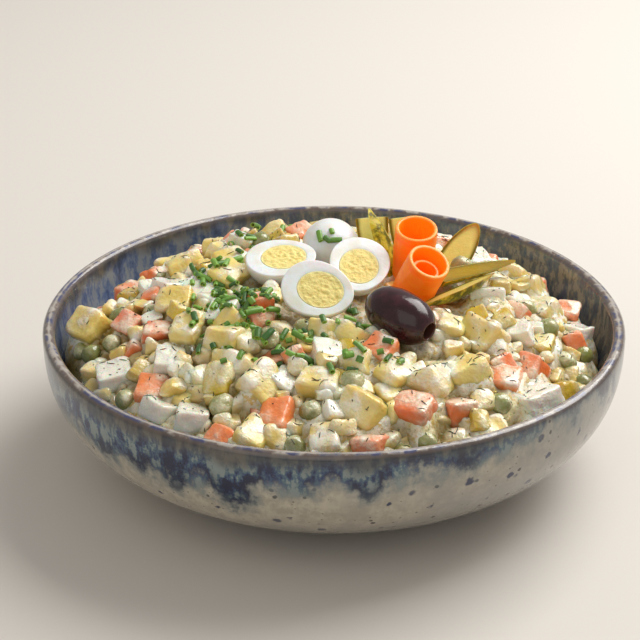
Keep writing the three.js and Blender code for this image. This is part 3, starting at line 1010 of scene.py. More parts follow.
@dataclass
class Bowl:
    """The stoneware bowl: one profile turned about Z, with the glaze's run kept at its points.

    A drip is given as its angle in degrees, length and width in degrees, a spot as its angle,
    fall from the crest and radius.
    """

    around: int = 512
    glaze_base: float = 6.5
    glaze_lean: float = 12.0
    lean_towards: float = -160.0
    drips: tuple[Triple, ...] = (
        (-154, 3, 4), (-137, 5, 4), (-127.5, 7, 3.2), (-119.5, 6, 3.2), (-107.6, 13, 4.4),
        (-94, 3, 2.6), (-84, 9, 3.2), (-66, 5, 3.6), (-40, 4, 4), (-29, 8, 3), (-20, 6, 2.6),
        (-11, 9, 3),
    )
    unseen_drips: int = 22
    unseen_angles: tuple[float, float] = (-40, 200)
    unseen_lengths: tuple[float, float] = (2, 12)
    unseen_widths: tuple[float, float] = (1.6, 3)
    spots: tuple[Triple, ...] = (
        (-65.2, 19.4, 2.4), (-56.2, 22.3, 2.0), (-46.9, 20.2, 1.6), (-72, 30, 1.4), (-98, 34, 1.6),
        (-112, 33, 1.5), (-125, 36, 1.4), (-60, 33, 1.1), (-80, 25, 1.2), (-38, 17, 1.5),
    )
    out_of_true: float = 0.16
    wave_length: float = 34.0
    wrap_squeeze: float = 0.4

    def profile(self) -> np.ndarray:
        """The profile from under the foot, up the outside and over the lip, down to the floor.

        Returns:
            Rows of radius, height and arc from the lip's crest.
        """
        outside = wall_curve((FOOT_RADIUS, FOOT_HEIGHT), (RIM_RADIUS, LIP_HEIGHT), 48)
        inside = wall_curve((FLOOR_RADIUS, FLOOR_HEIGHT), (INSIDE_RADIUS, LIP_HEIGHT), 40)[::-1]
        angle = np.linspace(0, math.pi, 13)[1:-1]
        lip_middle = np.array([RIM_RADIUS - LIP_RADIUS, LIP_HEIGHT])
        lip = lip_middle + LIP_RADIUS * np.stack([np.cos(angle), np.sin(angle)], -1)
        inner_foot = FOOT_RADIUS - FOOT_RING_WIDTH
        foot = np.array([
            [20, FOOT_HEIGHT], [inner_foot - 2, FOOT_HEIGHT], [inner_foot - 0.8, FOOT_HEIGHT - 0.3],
            [inner_foot, 0.3], [inner_foot + 0.5, 0], [FOOT_RADIUS - 1.5, 0], [FOOT_RADIUS - 0.4, 0.4],
        ])
        floor = np.array([[FLOOR_RADIUS * 0.6, FLOOR_HEIGHT], [FLOOR_RADIUS * 0.25, FLOOR_HEIGHT]])
        line = np.concatenate([foot, outside, lip, inside, floor])
        steps = np.hypot(*np.diff(line, axis=0).T)
        arc = np.concatenate([[0], np.cumsum(steps)])
        crest = arc[len(foot) + len(outside) + len(lip) // 2]
        return np.column_stack([line, arc - crest])

    def run(self, angle: np.ndarray) -> tuple[np.ndarray, np.ndarray]:
        """How far the blue glaze runs: a base that leans one way by a cosine, plus bell curves.

        Args:
            angle: degrees round the bowl.

        Returns:
            The base in millimetres, and the drips to add to it.
        """
        base = self.glaze_base + self.glaze_lean * np.cos(np.radians(angle - self.lean_towards))
        item = np.arange(self.unseen_drips)
        unseen = np.stack([
            between(*self.unseen_angles, draw(item, Lot.DRIP_ANGLE)),
            between(*self.unseen_lengths, draw(item, Lot.DRIP_LENGTH)),
            between(*self.unseen_widths, draw(item, Lot.DRIP_WIDTH)),
        ], -1)
        every = np.concatenate([np.array(self.drips), unseen])
        apart = (angle[:, None] - every[:, 0] + 180) % 360 - 180
        return base, (every[:, 1] * np.exp(-((apart / every[:, 2]) ** 2))).sum(1)

    def spotted(self, angle: np.ndarray, arc: np.ndarray) -> np.ndarray:
        """The blue spots below the drips: a bell curve about each one's angle and arc.

        Args:
            angle: degrees round the bowl.
            arc: millimetres along the profile from the lip's crest.

        Returns:
            How blue each point is, rows by steps.
        """
        total = np.zeros(np.broadcast_shapes(angle.shape, arc.shape))
        for towards, fall, radius in self.spots:
            apart = np.radians((angle - towards + 180) % 360 - 180) * RIM_RADIUS
            total += np.exp(-(apart ** 2 + (arc + fall) ** 2) / radius ** 2)
        return total

    def build(self, material: Material) -> None:
        """Turns the profile, a little out of true as a thrown bowl is.

        Args:
            material: the glaze.
        """
        line = self.profile()
        angle = angles(self.around)
        out = np.stack([np.cos(angle), np.sin(angle)], -1)
        height, arc = line[:, 1:2], line[:, 2:]
        loops = turned(line[:, [1, 0]], self.around)[..., [1, 2, 0]]
        wave = grain(loops, self.wave_length) * self.out_of_true * smooth(height / 20)
        loops[..., :2] -= out * np.abs(wave)[..., None]
        shape = loft(loops, (0, 0, FOOT_HEIGHT), (0, 0, FLOOR_HEIGHT))
        run, drip = self.run(np.degrees(angle))
        wrapped = np.broadcast_arrays(*(RIM_RADIUS * out).T, self.wrap_squeeze * arc)
        grids = {
            "fall": np.abs(arc),
            "inside": arc > 0,
            "run": run + drip,
            "drip": drip,
            "spot": self.spotted(np.degrees(angle), arc),
            "wrap": np.stack(wrapped, -1),
        }
        shape.values = {name: at_points(grid, len(line), self.around) for name, grid in grids.items()}
        make_piece("bowl_glazed", shape, material, "glaze", "bowl")


@dataclass
class Topping:
    """A piece laid on the heap: its node, its place, and the length and width that it covers."""

    name: str
    place: Place
    cover: tuple[float, float]

    def spots(self, shares: tuple[float, ...]) -> list[Triple]:
        """Spots along the covered length, for the dice to keep clear of.

        Args:
            shares: how far along the length each one lies, from the middle.

        Returns:
            The spots as x, y and reach.
        """
        (x, y, _), run = self.place.at, self.place.axes()[0]
        length, width = self.cover
        return [(x + run[0] * length * s, y + run[1] * length * s, width / 2) for s in shares]


TOP = BOWL_HEIGHT
EGG_LENGTH = 31.0
EGG_WIDTH = 26.0
OLIVE_LENGTH = 34.0
OLIVE_WIDTH = 21.0
ROLL_RADIUS = 9.4


@dataclass
class Egg(Topping):
    """A boiled quail egg: a sphere stretched along X, blunter at its +X end."""

    cover: tuple[float, float] = (EGG_LENGTH, 0.8 * EGG_WIDTH)
    length: float = EGG_LENGTH
    width: float = EGG_WIDTH
    taper: float = 0.12
    yolk_length: float = 20.0
    yolk_width: float = 17.2
    yolk_shift: float = 1.2
    seat_gap: float = 0.04
    around: int = 96

    def swollen(self, sphere: np.ndarray) -> np.ndarray:
        """Points of a unit sphere carried to the egg: across, the width grows with x."""
        across = self.width / 2 * (1 + self.taper * sphere[..., :1])
        return np.concatenate([sphere[..., :1] * self.length / 2, sphere[..., 1:] * across], -1)

    def bowl_of_sphere(self, tilts: np.ndarray) -> np.ndarray:
        """Loops on the lower half of a unit sphere, one for each angle below its equator."""
        low = np.stack([-np.sin(tilts), np.cos(tilts)], -1)
        return turned(low, self.around)[..., [1, 2, 0]]

    def yolk_scale(self) -> np.ndarray:
        """Half the yolk's three axes."""
        return np.array([self.yolk_length, self.yolk_width, self.yolk_width]) / 2

    def white_shape(self) -> Shape:
        """Half the white: skin from under, a soft cut edge, the face, then the yolk's seat.

        Returns:
            The shape, its face at z = 0.
        """
        skin = self.swollen(self.bowl_of_sphere(np.linspace(math.pi / 2, 0.05, 22)[1:]))
        outline = self.swollen(self.bowl_of_sphere(np.zeros(1)))[0]
        seat = self.bowl_of_sphere(np.linspace(0, math.pi / 2, 14)[:-1])
        seat *= self.yolk_scale() + self.seat_gap
        seat[..., 0] -= self.yolk_shift
        inner = seat[0].copy()
        shares = np.array([0.035, 0.12, 0.3, 0.5, 0.7, 0.86, 0.96])[:, None, None]
        face = between(outline, inner, shares)
        share = shares[..., 0]
        face[..., 2] = -0.06 * np.exp(-share / 0.05) - 0.12 * smooth((share - 0.8) / 0.2)
        face[..., 2] += 0.08 * grain(face, 6, 1)
        seat[0, :, 2] -= 0.15
        skin += 0.1 * grain(skin, 7, 2)[..., None]
        under = (0, 0, -self.width / 2)
        bottom = (-self.yolk_shift, 0, -self.yolk_width / 2 - self.seat_gap)
        return loft(np.concatenate([skin, face, seat]), under, bottom)

    def yolk_shape(self, seed: int) -> Shape:
        """Half the yolk: a crumbly face, an uneven rim and a smooth underside.

        Args:
            seed: which crumbs it gets.

        Returns:
            The shape, its face at z = 0.
        """
        under = self.bowl_of_sphere(np.linspace(math.pi / 2, 0.06, 12)[1:]) * self.yolk_scale()
        outline = self.bowl_of_sphere(np.zeros(1))[0] * self.yolk_scale()
        shares = np.linspace(0.985, 0.04, 34)[:, None, None]
        face = outline * shares
        crumbs = 0.3 * grain(face, 1.5, seed) + 0.22 * grain(face, 0.8, seed + 1)
        face[..., 2] = (crumbs - 0.12) * smooth((1 - shares[..., 0]) / 0.12)
        shape = loft(np.concatenate([under, face]), (0, 0, -self.yolk_width / 2), (0, 0, 0))
        reach = np.linalg.norm(shape.points[:, :2] / self.yolk_scale()[:2], axis=1)
        wobble = 0.05 * grain(shape.points, 4, seed + 2)
        shape.values["rim"] = 0.75 * smooth((reach + wobble - 0.84) / 0.16)
        shape.points[:, 0] -= self.yolk_shift
        return shape

    def build_half(self, white: Material, yolk: Material, seed: int) -> None:
        """Makes half an egg, the white and the yolk as two pieces.

        Args:
            white: the white's finish.
            yolk: the yolk's finish.
            seed: which crumbs the yolk gets.
        """
        halves = (
            (f"{self.name}_white", self.white_shape(), white, "egg_white"),
            (f"{self.name}_yolk", self.yolk_shape(seed), yolk, "yolk"),
        )
        for node, shape, finish, slot in halves:
            make_piece(f"{node}_half", self.place.put(shape), finish, slot, node)

    def build_whole(self, white: Material) -> None:
        """Makes the whole egg, a little uneven from peeling.

        Args:
            white: its finish.
        """
        shape = rounded_cube(24, 2.0)
        shape.points = self.swollen(shape.points)
        shape.points += 0.12 * grain(shape.points, 8, 6)[:, None]
        make_piece(f"{self.name}_peeled", self.place.put(shape), white, "egg_white", self.name)


@dataclass
class PittedOlive(Topping):
    """A pitted black olive with its hole at the +X end."""

    cover: tuple[float, float] = (OLIVE_LENGTH, 0.7 * OLIVE_WIDTH)
    length: float = OLIVE_LENGTH
    width: float = OLIVE_WIDTH
    point: float = 2.3
    belly: float = 0.52
    hole: float = 3.5
    lip: float = 0.5
    depth: float = 10.0
    around: int = 72

    def build(self, material: Material) -> None:
        """A profile turned about X: the skin, a rounded mouth, the hole's wall and its end.

        The skin's radius is a power of one less a power of the distance from the middle.

        Args:
            material: the olive's finish.
        """
        opening = 2 * (self.hole + self.lip) / self.width
        mouth = (1 - opening ** (1 / self.belly)) ** (1 / self.point)
        s = -np.cos(np.linspace(0.06, math.pi, 60))
        s = s[s < mouth]
        radius = self.width / 2 * (1 - np.abs(s) ** self.point) ** self.belly
        skin = np.stack([s * self.length / 2, radius], -1)
        edge = mouth * self.length / 2
        share = np.linspace(0, 1, 5)
        lip = np.stack([edge - 0.6 * share ** 2, self.hole + self.lip * (1 - share ** 0.6)], -1)
        wall = np.stack([np.linspace(edge - 1.4, edge - self.depth, 10), np.full(10, self.hole)], -1)
        line = np.concatenate([skin, lip, wall])
        loops = turned(line, self.around)
        loops[: len(skin)] *= 1 + 0.012 * grain(loops[: len(skin)], 7, 9)[..., None]
        shape = loft(loops, (-self.length / 2, 0, 0), (edge - self.depth, 0, 0))
        cut = smooth((np.arange(len(line)) - len(skin) + 2) / 3.0)
        shape.values["cut"] = at_points(cut[:, None], len(line), self.around)
        make_piece(f"{self.name}_pitted", self.place.put(shape), material, "olive", self.name)


@dataclass
class RibbonRoll(Topping):
    """A carrot ribbon rolled up about X: a closed outer turn, and a curl set lower inside it."""

    length: float
    inner_drop: float
    curl_radius: float
    radius: float = ROLL_RADIUS
    thickness: float = 1.7
    curl_from: float = -0.5
    curl_turns: float = 1.15
    wave: float = 0.35
    wave_length: float = 9.0
    stations: int = 120
    section_steps: int = 28

    def section(self) -> tuple[np.ndarray, np.ndarray]:
        """A rounded upright section: powers of a cosine across and of a sine along.

        Returns:
            Places across the ribbon's thickness and along its width, each from -1 to 1.
        """
        angle = angles(self.section_steps)
        across = np.sign(np.cos(angle)) * np.abs(np.cos(angle)) ** 0.35
        along = np.sign(np.sin(angle)) * np.abs(np.sin(angle)) ** 0.12
        return across, along

    def carried(
        self, angle: np.ndarray, middle: np.ndarray, centre: np.ndarray, high: np.ndarray
    ) -> np.ndarray:
        """The section carried round.

        Args:
            angle: the way each station looks from the axis.
            middle: the ribbon's radius there, to the middle of its thickness.
            centre: the way across to the centre that each station turns about, as y and z.
            high: the top of the ribbon along X.

        Returns:
            Loops of points, stations by section steps by three.
        """
        across, along = self.section()
        sine, cosine = np.sin(angle)[:, None], np.cos(angle)[:, None]
        reach = middle[:, None] + across * self.thickness / 2
        x = between(-self.length / 2, high[:, None], (along[None] + 1) / 2)
        round_about = np.stack(np.broadcast_arrays(x, 6 * sine, 6 * cosine), -1)
        reach = reach + self.wave * grain(round_about, self.wave_length, 3)
        return np.stack([x, centre[:, :1] + reach * sine, centre[:, 1:] - reach * cosine], -1)

    def build(self, material: Material) -> None:
        """The outer turn is a ring of sections, the curl a spiral that leaves its inner wall.

        Args:
            material: the carrot's finish.
        """
        full = angles(self.stations)
        top = np.full(self.stations, self.length / 2)
        middle = np.full(self.stations, self.radius - self.thickness / 2 - 0.2)
        outer = ring(self.carried(full, middle, np.zeros((self.stations, 2)), top))
        share = np.linspace(0, 1, self.stations)
        angle = self.curl_from + FULL_TURN * self.curl_turns * share
        inside = self.radius - 1.5 * self.thickness - 0.35
        curl = between(inside, self.curl_radius, smooth(share / 0.6))
        towards = np.array([math.sin(self.curl_from), -math.cos(self.curl_from)])
        drop = self.length / 2 - self.inner_drop * (0.75 + 0.25 * share)
        inner = loft(self.carried(angle, curl, (inside - curl)[:, None] * towards, drop))
        across, along = self.section()
        rim = np.tile(np.abs(along) > 0.96, self.stations).astype(float)
        hollow = np.tile(across < -0.5, self.stations).astype(float)
        round_outside = np.repeat(full * self.radius, len(across))
        wrap = np.stack([round_outside, outer.points[:, 0], 0 * outer.points[:, 1]], -1)
        shift = len(outer.points)
        both = Shape(
            np.concatenate([outer.points, inner.points]),
            np.concatenate([outer.quads, inner.quads + shift]),
            inner.tris + shift,
            {
                "rim": np.concatenate([rim, 0.1 * rim, [0, 0]]),
                "hollow": np.concatenate([hollow, 0 * hollow, [0, 0]]),
                "wrap": np.concatenate([wrap, wrap, wrap[:2]]),
            },
        )
        make_piece(f"{self.name}_ribbon", self.place.put(both), material, "carrot", self.name)


@dataclass
class GherkinSlice(Topping):
    """A lengthwise slice off the side of a gherkin: flat on top, round and bumpy below.

    It is pointed at both ends, or cut across where it begins.
    """

    length: float
    begin: float | None
    pale: float
    radius: float = 8.6
    cut: float = 4.4
    point: float = 2.2
    rind: float = 0.6
    stations: int = 72
    arc_steps: int = 26
    face_steps: int = 16

    def spindle(self) -> tuple[np.ndarray, np.ndarray]:
        """The gherkin: its radius times one less a power of the distance from its middle.

        Returns:
            Places along X, and the radius at each, held just over the cut's height.
        """
        taken = (1 - self.cut / self.radius) ** (1 / self.point)
        whole = self.length / taken
        first = -taken if self.begin is None else 2 * self.begin / whole
        share = (1 - np.cos(np.linspace(0.08, math.pi - 0.08, self.stations))) / 2
        if self.begin is not None:
            share = np.sin(np.linspace(0, math.pi / 2 - 0.05, self.stations))
        s = between(first, taken, share)
        radius = np.maximum(self.radius * (1 - np.abs(s) ** self.point), self.cut + 0.02)
        return s * whole / 2, radius

    def build(self, material: Material, seed: int) -> None:
        """Sections of the spindle below its cut plane: an arc of skin, then the face's chord.

        Args:
            material: the gherkin's finish.
            seed: which bumps it gets.
        """
        along, radius = self.spindle()
        depth = radius - self.cut
        round_skin = np.linspace(-1, 1, self.arc_steps)
        arc = np.arccos(self.cut / radius)[:, None] * round_skin
        skin = np.stack([
            np.broadcast_to(along[:, None], arc.shape),
            radius[:, None] * np.sin(arc), self.cut - radius[:, None] * np.cos(arc),
        ], -1)
        bumps = grain(skin, 3.0, seed) * 0.35 + grain(skin, 1.6, seed + 1) * 0.15
        out = skin - np.array([0, 0, self.cut])
        out[..., 0] = 0
        fade = np.minimum(1, depth / 2)[:, None] * (1 - round_skin ** 6)
        skin = skin + normed(out) * ((bumps - 0.15) * fade)[..., None]
        chord = np.sqrt(radius ** 2 - self.cut ** 2)[:, None] * np.linspace(0.94, -0.94, self.face_steps)
        face = np.stack([np.broadcast_to(along[:, None], chord.shape), chord, 0 * chord], -1)
        face[..., 2] += (grain(face, 4, seed + 2) * 0.12 - 0.15) * np.minimum(1, depth)[:, None]
        shape = loft(np.concatenate([skin, face], axis=1))
        blank = np.zeros(skin.shape[:2])
        over_face = np.abs(np.linspace(-1, 1, self.face_steps))
        inward = (1 - over_face ** 2) * (depth / depth.max())[:, None]
        rim = np.broadcast_to(self.rind * over_face ** 8, chord.shape)
        on_skin = np.concatenate([blank + 1, rim], axis=1)
        end = 1.0 if self.begin is None else 0.0
        shape.values = {
            "skin": np.concatenate([on_skin.reshape(-1), [end, 1]]),
            "middle": np.concatenate([np.concatenate([blank, inward], axis=1).reshape(-1), [0, 0]]),
            "pale": np.full(len(shape.points), self.pale),
        }
        make_piece(f"{self.name}_slice", self.place.put(shape), material, "gherkin", self.name, crease=50)


EGGS = (
    Egg("egg_left", Place((-23, 13, TOP + 20.5), (-0.97, -0.2, -0.06), (-0.08, -0.24, 0.97))),
    Egg("egg_front", Place((-6.7, -23, TOP + 22), (-0.93, 0.25, 0.2), (0.04, -0.6, 0.8))),
    Egg("egg_right", Place((11, 4, TOP + 21.4), (0.15, 0.9, 0.4), (0.1, -0.4, 0.92))),
)
EGG_WHOLE = Egg("egg_whole", Place((-1.5, 37, TOP + 15), (0.12, -0.95, 0.1), (0, 0, 1)))
OLIVE = PittedOlive("olive", Place((27.3, -38, TOP + 16.9), (0.73, -0.67, -0.14), (0, 0, 1)))
ROLLS = (
    RibbonRoll(
        "carrot_roll_front", Place((36.5, -6.8, TOP + 19.2), (0.33, -0.37, 0.87)),
        (6, 2 * ROLL_RADIUS), length=23.0, inner_drop=4.0, curl_radius=4.4,
    ),
    RibbonRoll(
        "carrot_roll_back", Place((35.2, 18.5, TOP + 21.2), (0.046, -0.253, 0.966)),
        (6, 2 * ROLL_RADIUS), length=25.0, inner_drop=12.0, curl_radius=5.4,
    ),
)
GHERKINS = (
    GherkinSlice(
        "gherkin_spear", Place((21.8, 31.7, TOP + 16.5), (-0.337, 0.333, 0.88), (-0.9, 0.3, -0.2)),
        (10, 8), length=38.0, begin=None, pale=0.3,
    ),
    GherkinSlice(
        "gherkin_left", Place((17, 48, TOP + 24.5), (0.08, -0.3, -0.95), (-0.1, -0.94, 0.3)),
        (10, 8), length=46.0, begin=0.0, pale=0.9,
    ),
    GherkinSlice(
        "gherkin_middle", Place((31.6, 42, TOP + 27.2), (0.1, -0.32, -0.94), (0.1, -0.93, 0.33)),
        (10, 8), length=46.0, begin=0.0, pale=0.9,
    ),
    GherkinSlice(
        "gherkin_upright", Place((53.4, 37.8, TOP + 8.1), (0.55, 0.36, 0.75), (-0.35, -0.75, 0.56)),
        (30, 9), length=40.0, begin=None, pale=0.95,
    ),
    GherkinSlice(
        "gherkin_long", Place((48.8, 4.7, TOP + 16.0), (0.84, 0.54, -0.05), (0.08, 0.15, 1)),
        (44, 8), length=74.0, begin=-6.0, pale=0.0,
    ),
    GherkinSlice(
        "gherkin_low", Place((52.6, -9.0, TOP + 15.6), (0.767, 0.62, 0.08), (-0.3, 0.3, 0.85)),
        (40, 8), length=42.0, begin=None, pale=0.5,
    ),
)


def topping_spots(shares: tuple[float, ...]) -> np.ndarray:
    """Every topping's spots, as rows of x, y and reach."""
    toppings = (*EGGS, EGG_WHOLE, OLIVE, *ROLLS, *GHERKINS)
    return np.concatenate([topping.spots(shares) for topping in toppings])


class Kind(Enum):
    """The kinds of piece in the salad."""

    POTATO = "potato"
    PEA = "pea"
    CARROT = "carrot"
    EGG_WHITE = "egg white"
    GHERKIN = "gherkin"
    BROKEN = "broken potato"


@dataclass(frozen=True)
class Cut:
    """How one kind is cut.

    The shares are its part of the large pieces and of the fill between them. Its edge lies
    between least and most, and flat is its height over its edge. Power rounds the cube, lumps
    and skew make it uneven, and film is how much dressing it wears.
    """

    share: float
    fill_share: float
    least: float
    most: float
    flat: float
    power: float
    lumps: float
    skew: float
    film: float
    finish: Coated
    divisions: int = 10


CUTS: dict[Kind, Cut] = {
    Kind.POTATO: Cut(
        share=0.5, fill_share=0.26, least=11.5, most=17.5, flat=0.82, power=6.5, lumps=0.7, skew=0.15,
        film=0.04, finish=Coated(
            "potato_dice", srgb(244, 221, 128), srgb(230, 200, 88), srgb(246, 237, 212), veil=0.08,
        ),
    ),
    Kind.PEA: Cut(
        share=0.17, fill_share=0.06, least=8.6, most=10.2, flat=0.95, power=2.0, lumps=0.15, skew=0.05,
        film=-0.1, divisions=8, finish=Coated(
            "garden_peas", srgb(142, 146, 70), srgb(104, 110, 46), srgb(218, 214, 172), veil=0.14,
            relief=0.15, rough=0.24,
        ),
    ),
    Kind.CARROT: Cut(
        share=0.1, fill_share=0.08, least=9, most=13.5, flat=0.86, power=8.0, lumps=0.4, skew=0.12,
        film=0.02, finish=Coated(
            "carrot_dice", srgb(250, 132, 48), srgb(238, 100, 24), srgb(246, 214, 186), veil=0.16,
        ),
    ),
    Kind.EGG_WHITE: Cut(
        share=0.13, fill_share=0.08, least=10, most=15, flat=0.55, power=11.0, lumps=0.15, skew=0.13,
        film=-0.12, finish=Coated(
            "egg_white_dice", srgb(243, 241, 226), srgb(234, 231, 212), srgb(246, 242, 226), veil=0.04,
            relief=0.08, rough=0.26, glow=0.5,
        ),
    ),
    Kind.GHERKIN: Cut(
        share=0.1, fill_share=0.06, least=9, most=13, flat=0.7, power=6.0, lumps=0.45, skew=0.13,
        film=-0.2, finish=Coated(
            "gherkin_dice", srgb(224, 194, 30), srgb(196, 160, 22), srgb(240, 230, 188), veil=0.1,
            relief=0.2, rough=0.24,
        ),
    ),
    Kind.BROKEN: Cut(
        share=0.0, fill_share=0.46, least=6.5, most=13.5, flat=0.72, power=5.0, lumps=1.2, skew=0.45,
        film=0.12, divisions=6, finish=Coated(
            "potato_broken", srgb(240, 214, 128), srgb(226, 193, 90), srgb(246, 237, 212), veil=0.1,
        ),
    ),
}

# The pieces that stand out from the front, as x, y, edge and any lift
SHOWN: dict[Kind, tuple[tuple[float, ...], ...]] = {
    Kind.CARROT: (
        (-83, 57, 10), (-64, 68, 9), (-92, 36, 12), (-87, -12, 12), (-74, -24, 12), (-73, -60, 14),
        (-21, -86, 16), (14, -100, 12), (32, -85, 14), (49, -78, 13), (-16, -58, 10), (69, -58, 13.5),
        (80, -44, 14), (79, -5, 9), (92, 48, 11), (104, 22, 10), (103, -7, 11),
    ),
    Kind.EGG_WHITE: (
        (-57, 8, 17), (-90, -42, 17), (-67, -49, 15), (-68, -72, 15), (-56, -80, 15), (77, -28, 13, 2),
        (66, -2, 14, 3), (82, -63, 17),
    ),
    Kind.GHERKIN: (
        (-79, -48, 9), (-45, -66, 15), (60, -21, 9), (87, -29, 10.5), (57, -82, 9), (93, -50, 13),
        (72, 15, 10),
    ),
    Kind.PEA: (
        (-107, -13, 9), (-84, -61, 9.5), (-44, -79, 10.5), (-15, -99, 10), (-9, -87, 9.5),
        (107, -12, 9), (83, -56, 9.5), (66, -71, 9.8), (104, -36, 9), (36, -95, 10),
    ),
    Kind.POTATO: (
        (-105, -4, 17, 6), (-93, 42, 11.5), (-76, 58, 11.5), (-66, 47, 12), (-55, 66, 12),
        (-67, -6, 16), (-60, -33, 16), (-46, 14, 15), (-44, -46, 16), (-29, -70, 17), (-31, -95, 14),
        (-6, -74, 17), (-3, -98, 13.5), (12, -86, 18), (24, -67, 15), (38, -70, 17), (9, -60, 16.5),
        (7, -42, 15), (61, -36, 19), (53, -61, 17.5), (86, 31, 14), (91, 10, 14), (62, -83, 15),
    ),
}


@dataclass
class Heap:
    """The salad: dice and peas strewn over a dome, with dressing between them.

    Two pieces keep apart by ease times the sum of their edges, and a piece keeps off a topping
    by its edge times topping_ease.
    """

    span: float = 111.0
    tries: int = 470
    stand: float = 7.5
    stand_spread: float = 4.0
    ease: float = 0.37
    topping_ease: float = 0.36
    topping_shares: tuple[float, ...] = (-0.3, 0, 0.3)
    drawn_from: int = 100
    narrowest: float = 0.78
    pea_width: float = 0.97
    tilt: float = 0.6
    slice_tilt: float = 0.35
    fill_tries: int = 9000
    fill_size: float = 0.88
    fill_ease: float = 0.34
    fill_sink: tuple[float, float] = (1.2, 5.2)
    fill_topping_shares: tuple[float, ...] = (-0.48, -0.3, -0.15, 0, 0.15, 0.3, 0.48)
    film_thickness: float = 0.6
    film_lean: float = 0.08
    cell: float = 1.0
    blur: float = 2.4
    wide_blur: float = 5.0
    dressing_drop: float = 4.2
    dressing_lean: float = 1.2
    # Where the painted gap shade begins below the tops' average, and the depth over which it reaches full
    gap_start: float = 1.5
    gap_depth: float = 4.5
    dressing_rings: int = 132
    dressing_around: int = 640

    def plan(self) -> dict[Kind, np.ndarray]:
        """Lays out the pieces: the shown ones, then draws that find room.

        A draw's radius goes by a square root, which spreads them evenly, and a draw is left out
        where it comes too near a piece before it or a topping.

        Returns:
            For each kind, rows of x, y, edge, lift and item number.
        """
        apart = topping_spots(self.topping_shares), topping_spots(self.fill_topping_shares)
        kinds = list(CUTS)
        shares = np.cumsum([(cut.share, cut.fill_share) for cut in CUTS.values()], axis=0)
        table = np.zeros((self.drawn_from + self.tries + self.fill_tries, 6))
        used = 0
        for kind, rows in SHOWN.items():
            for x, y, size, *lift in rows:
                table[used] = x, y, size, lift[0] if lift else 0, used, kinds.index(kind)
                used += 1
        for i in range(1, self.tries + self.fill_tries + 1):
            fill = int(i > self.tries)
            found = np.searchsorted(shares[:, fill], draw(i, Lot.KIND), side="right")
            which = min(int(found), len(kinds) - 1)
            cut = CUTS[kinds[which]]
            size = between(cut.least, cut.most, draw(i, Lot.SIZE)) * (self.fill_size if fill else 1)
            radius = (self.span - size * 0.35) * math.sqrt(draw(i, Lot.REACH))
            angle = FULL_TURN * draw(i, Lot.ANGLE)
            x, y = radius * math.cos(angle), radius * math.sin(angle)
            placed, spots = table[:used], apart[fill]
            ease = self.fill_ease if fill else self.ease
            far = np.hypot(x - placed[:, 0], y - placed[:, 1]) > ease * (size + placed[:, 2])
            clear = np.hypot(x - spots[:, 0], y - spots[:, 1]) > spots[:, 2] + size * self.topping_ease
            if far.all() and clear.all():
                sink = between(*self.fill_sink, draw(i, Lot.SINK)) if fill else 0
                table[used] = x, y, size, -sink, self.drawn_from + i, which
                used += 1
        table = table[:used]
        return {kind: table[table[:, 5] == kinds.index(kind), :5] for kind in Kind}

    def dice(self, kind: Kind, plan: np.ndarray) -> Shape:
        """Makes all pieces of one kind.

        A rounded cube is stretched to each piece's three edges, its corners are pulled about,
        it is turned about Z, X and Y, set proud of the dome, and lumped by noise and by the film.

        Args:
            kind: which kind.
            plan: rows of x, y, edge, lift and item number.

        Returns:
            The pieces as one shape, with their shade and their film of dressing.
        """
        cut = CUTS[kind]
        unit = rounded_cube(cut.divisions, cut.power)
        x, y, size, lift, item = plan.T
        wide = between(self.narrowest, 1, draw(item, Lot.WIDTH))
        if kind is Kind.PEA:
            wide = self.pea_width
        half = np.stack([size, size * wide, size * cut.flat], -1) / 2
        corner = np.arange(8)[:, None]
        pull = 2 * draw(item[:, None, None], Lot.CORNERS + 3 * corner + np.arange(3)) - 1
        signs = 2 * (corner >> np.arange(3) & 1) - 1
        weight = np.prod((1 + signs * unit.points[:, None]) / 2, axis=-1)
        points = unit.points * half[:, None] * (1 + cut.skew * np.einsum("mc,nck->nmk", weight, pull))
        slope = np.sign(unit.points) * np.abs(unit.points) ** (cut.power - 1)
        outward = normed(slope / half[:, None])
        tilt = self.slice_tilt if kind is Kind.EGG_WHITE else self.tilt
        turns = (
            (FULL_TURN * draw(item, Lot.TURN), 0, 1),
            (tilt * (2 * draw(item, Lot.TILT_X) - 1), 1, 2),
            (tilt * (2 * draw(item, Lot.TILT_Y) - 1), 2, 0),
        )
        for angle, a, b in turns:
            cosine, sine = np.cos(angle)[:, None], np.sin(angle)[:, None]
            for array in (points, outward):
                first, second = array[..., a].copy(), array[..., b].copy()
                array[..., a] = first * cosine - second * sine
                array[..., b] = first * sine + second * cosine
        stand = self.stand + lift + self.stand_spread * (draw(item, Lot.STAND) - 0.5) + swell(x, y)
        middle = np.stack([x, y, core_height(x, y) + stand - size * cut.flat / 2], -1)
        points = points + middle[:, None]
        patches = 0.7 * grain(points, 6.2, 21) + 0.5 * grain(points, 2.8, 22)
        lean = self.film_lean * points[..., 0] / DOME_RADIUS
        own = 0.3 * (draw(item, Lot.FILM)[:, None] - 0.5)
        film = cut.film + 0.3 * outward[..., 2] + patches + own + lean
        lumps = grain(points, 5.2, 3) * cut.lumps + grain(points, 2.1, 5) * cut.lumps * 0.4
        lumps += self.film_thickness * smooth(film / 0.4)
        points = held_inside(points + outward * lumps[..., None])
        return unit.repeated(points, {"shade": draw(item, Lot.SHADE)[:, None], "film": film})

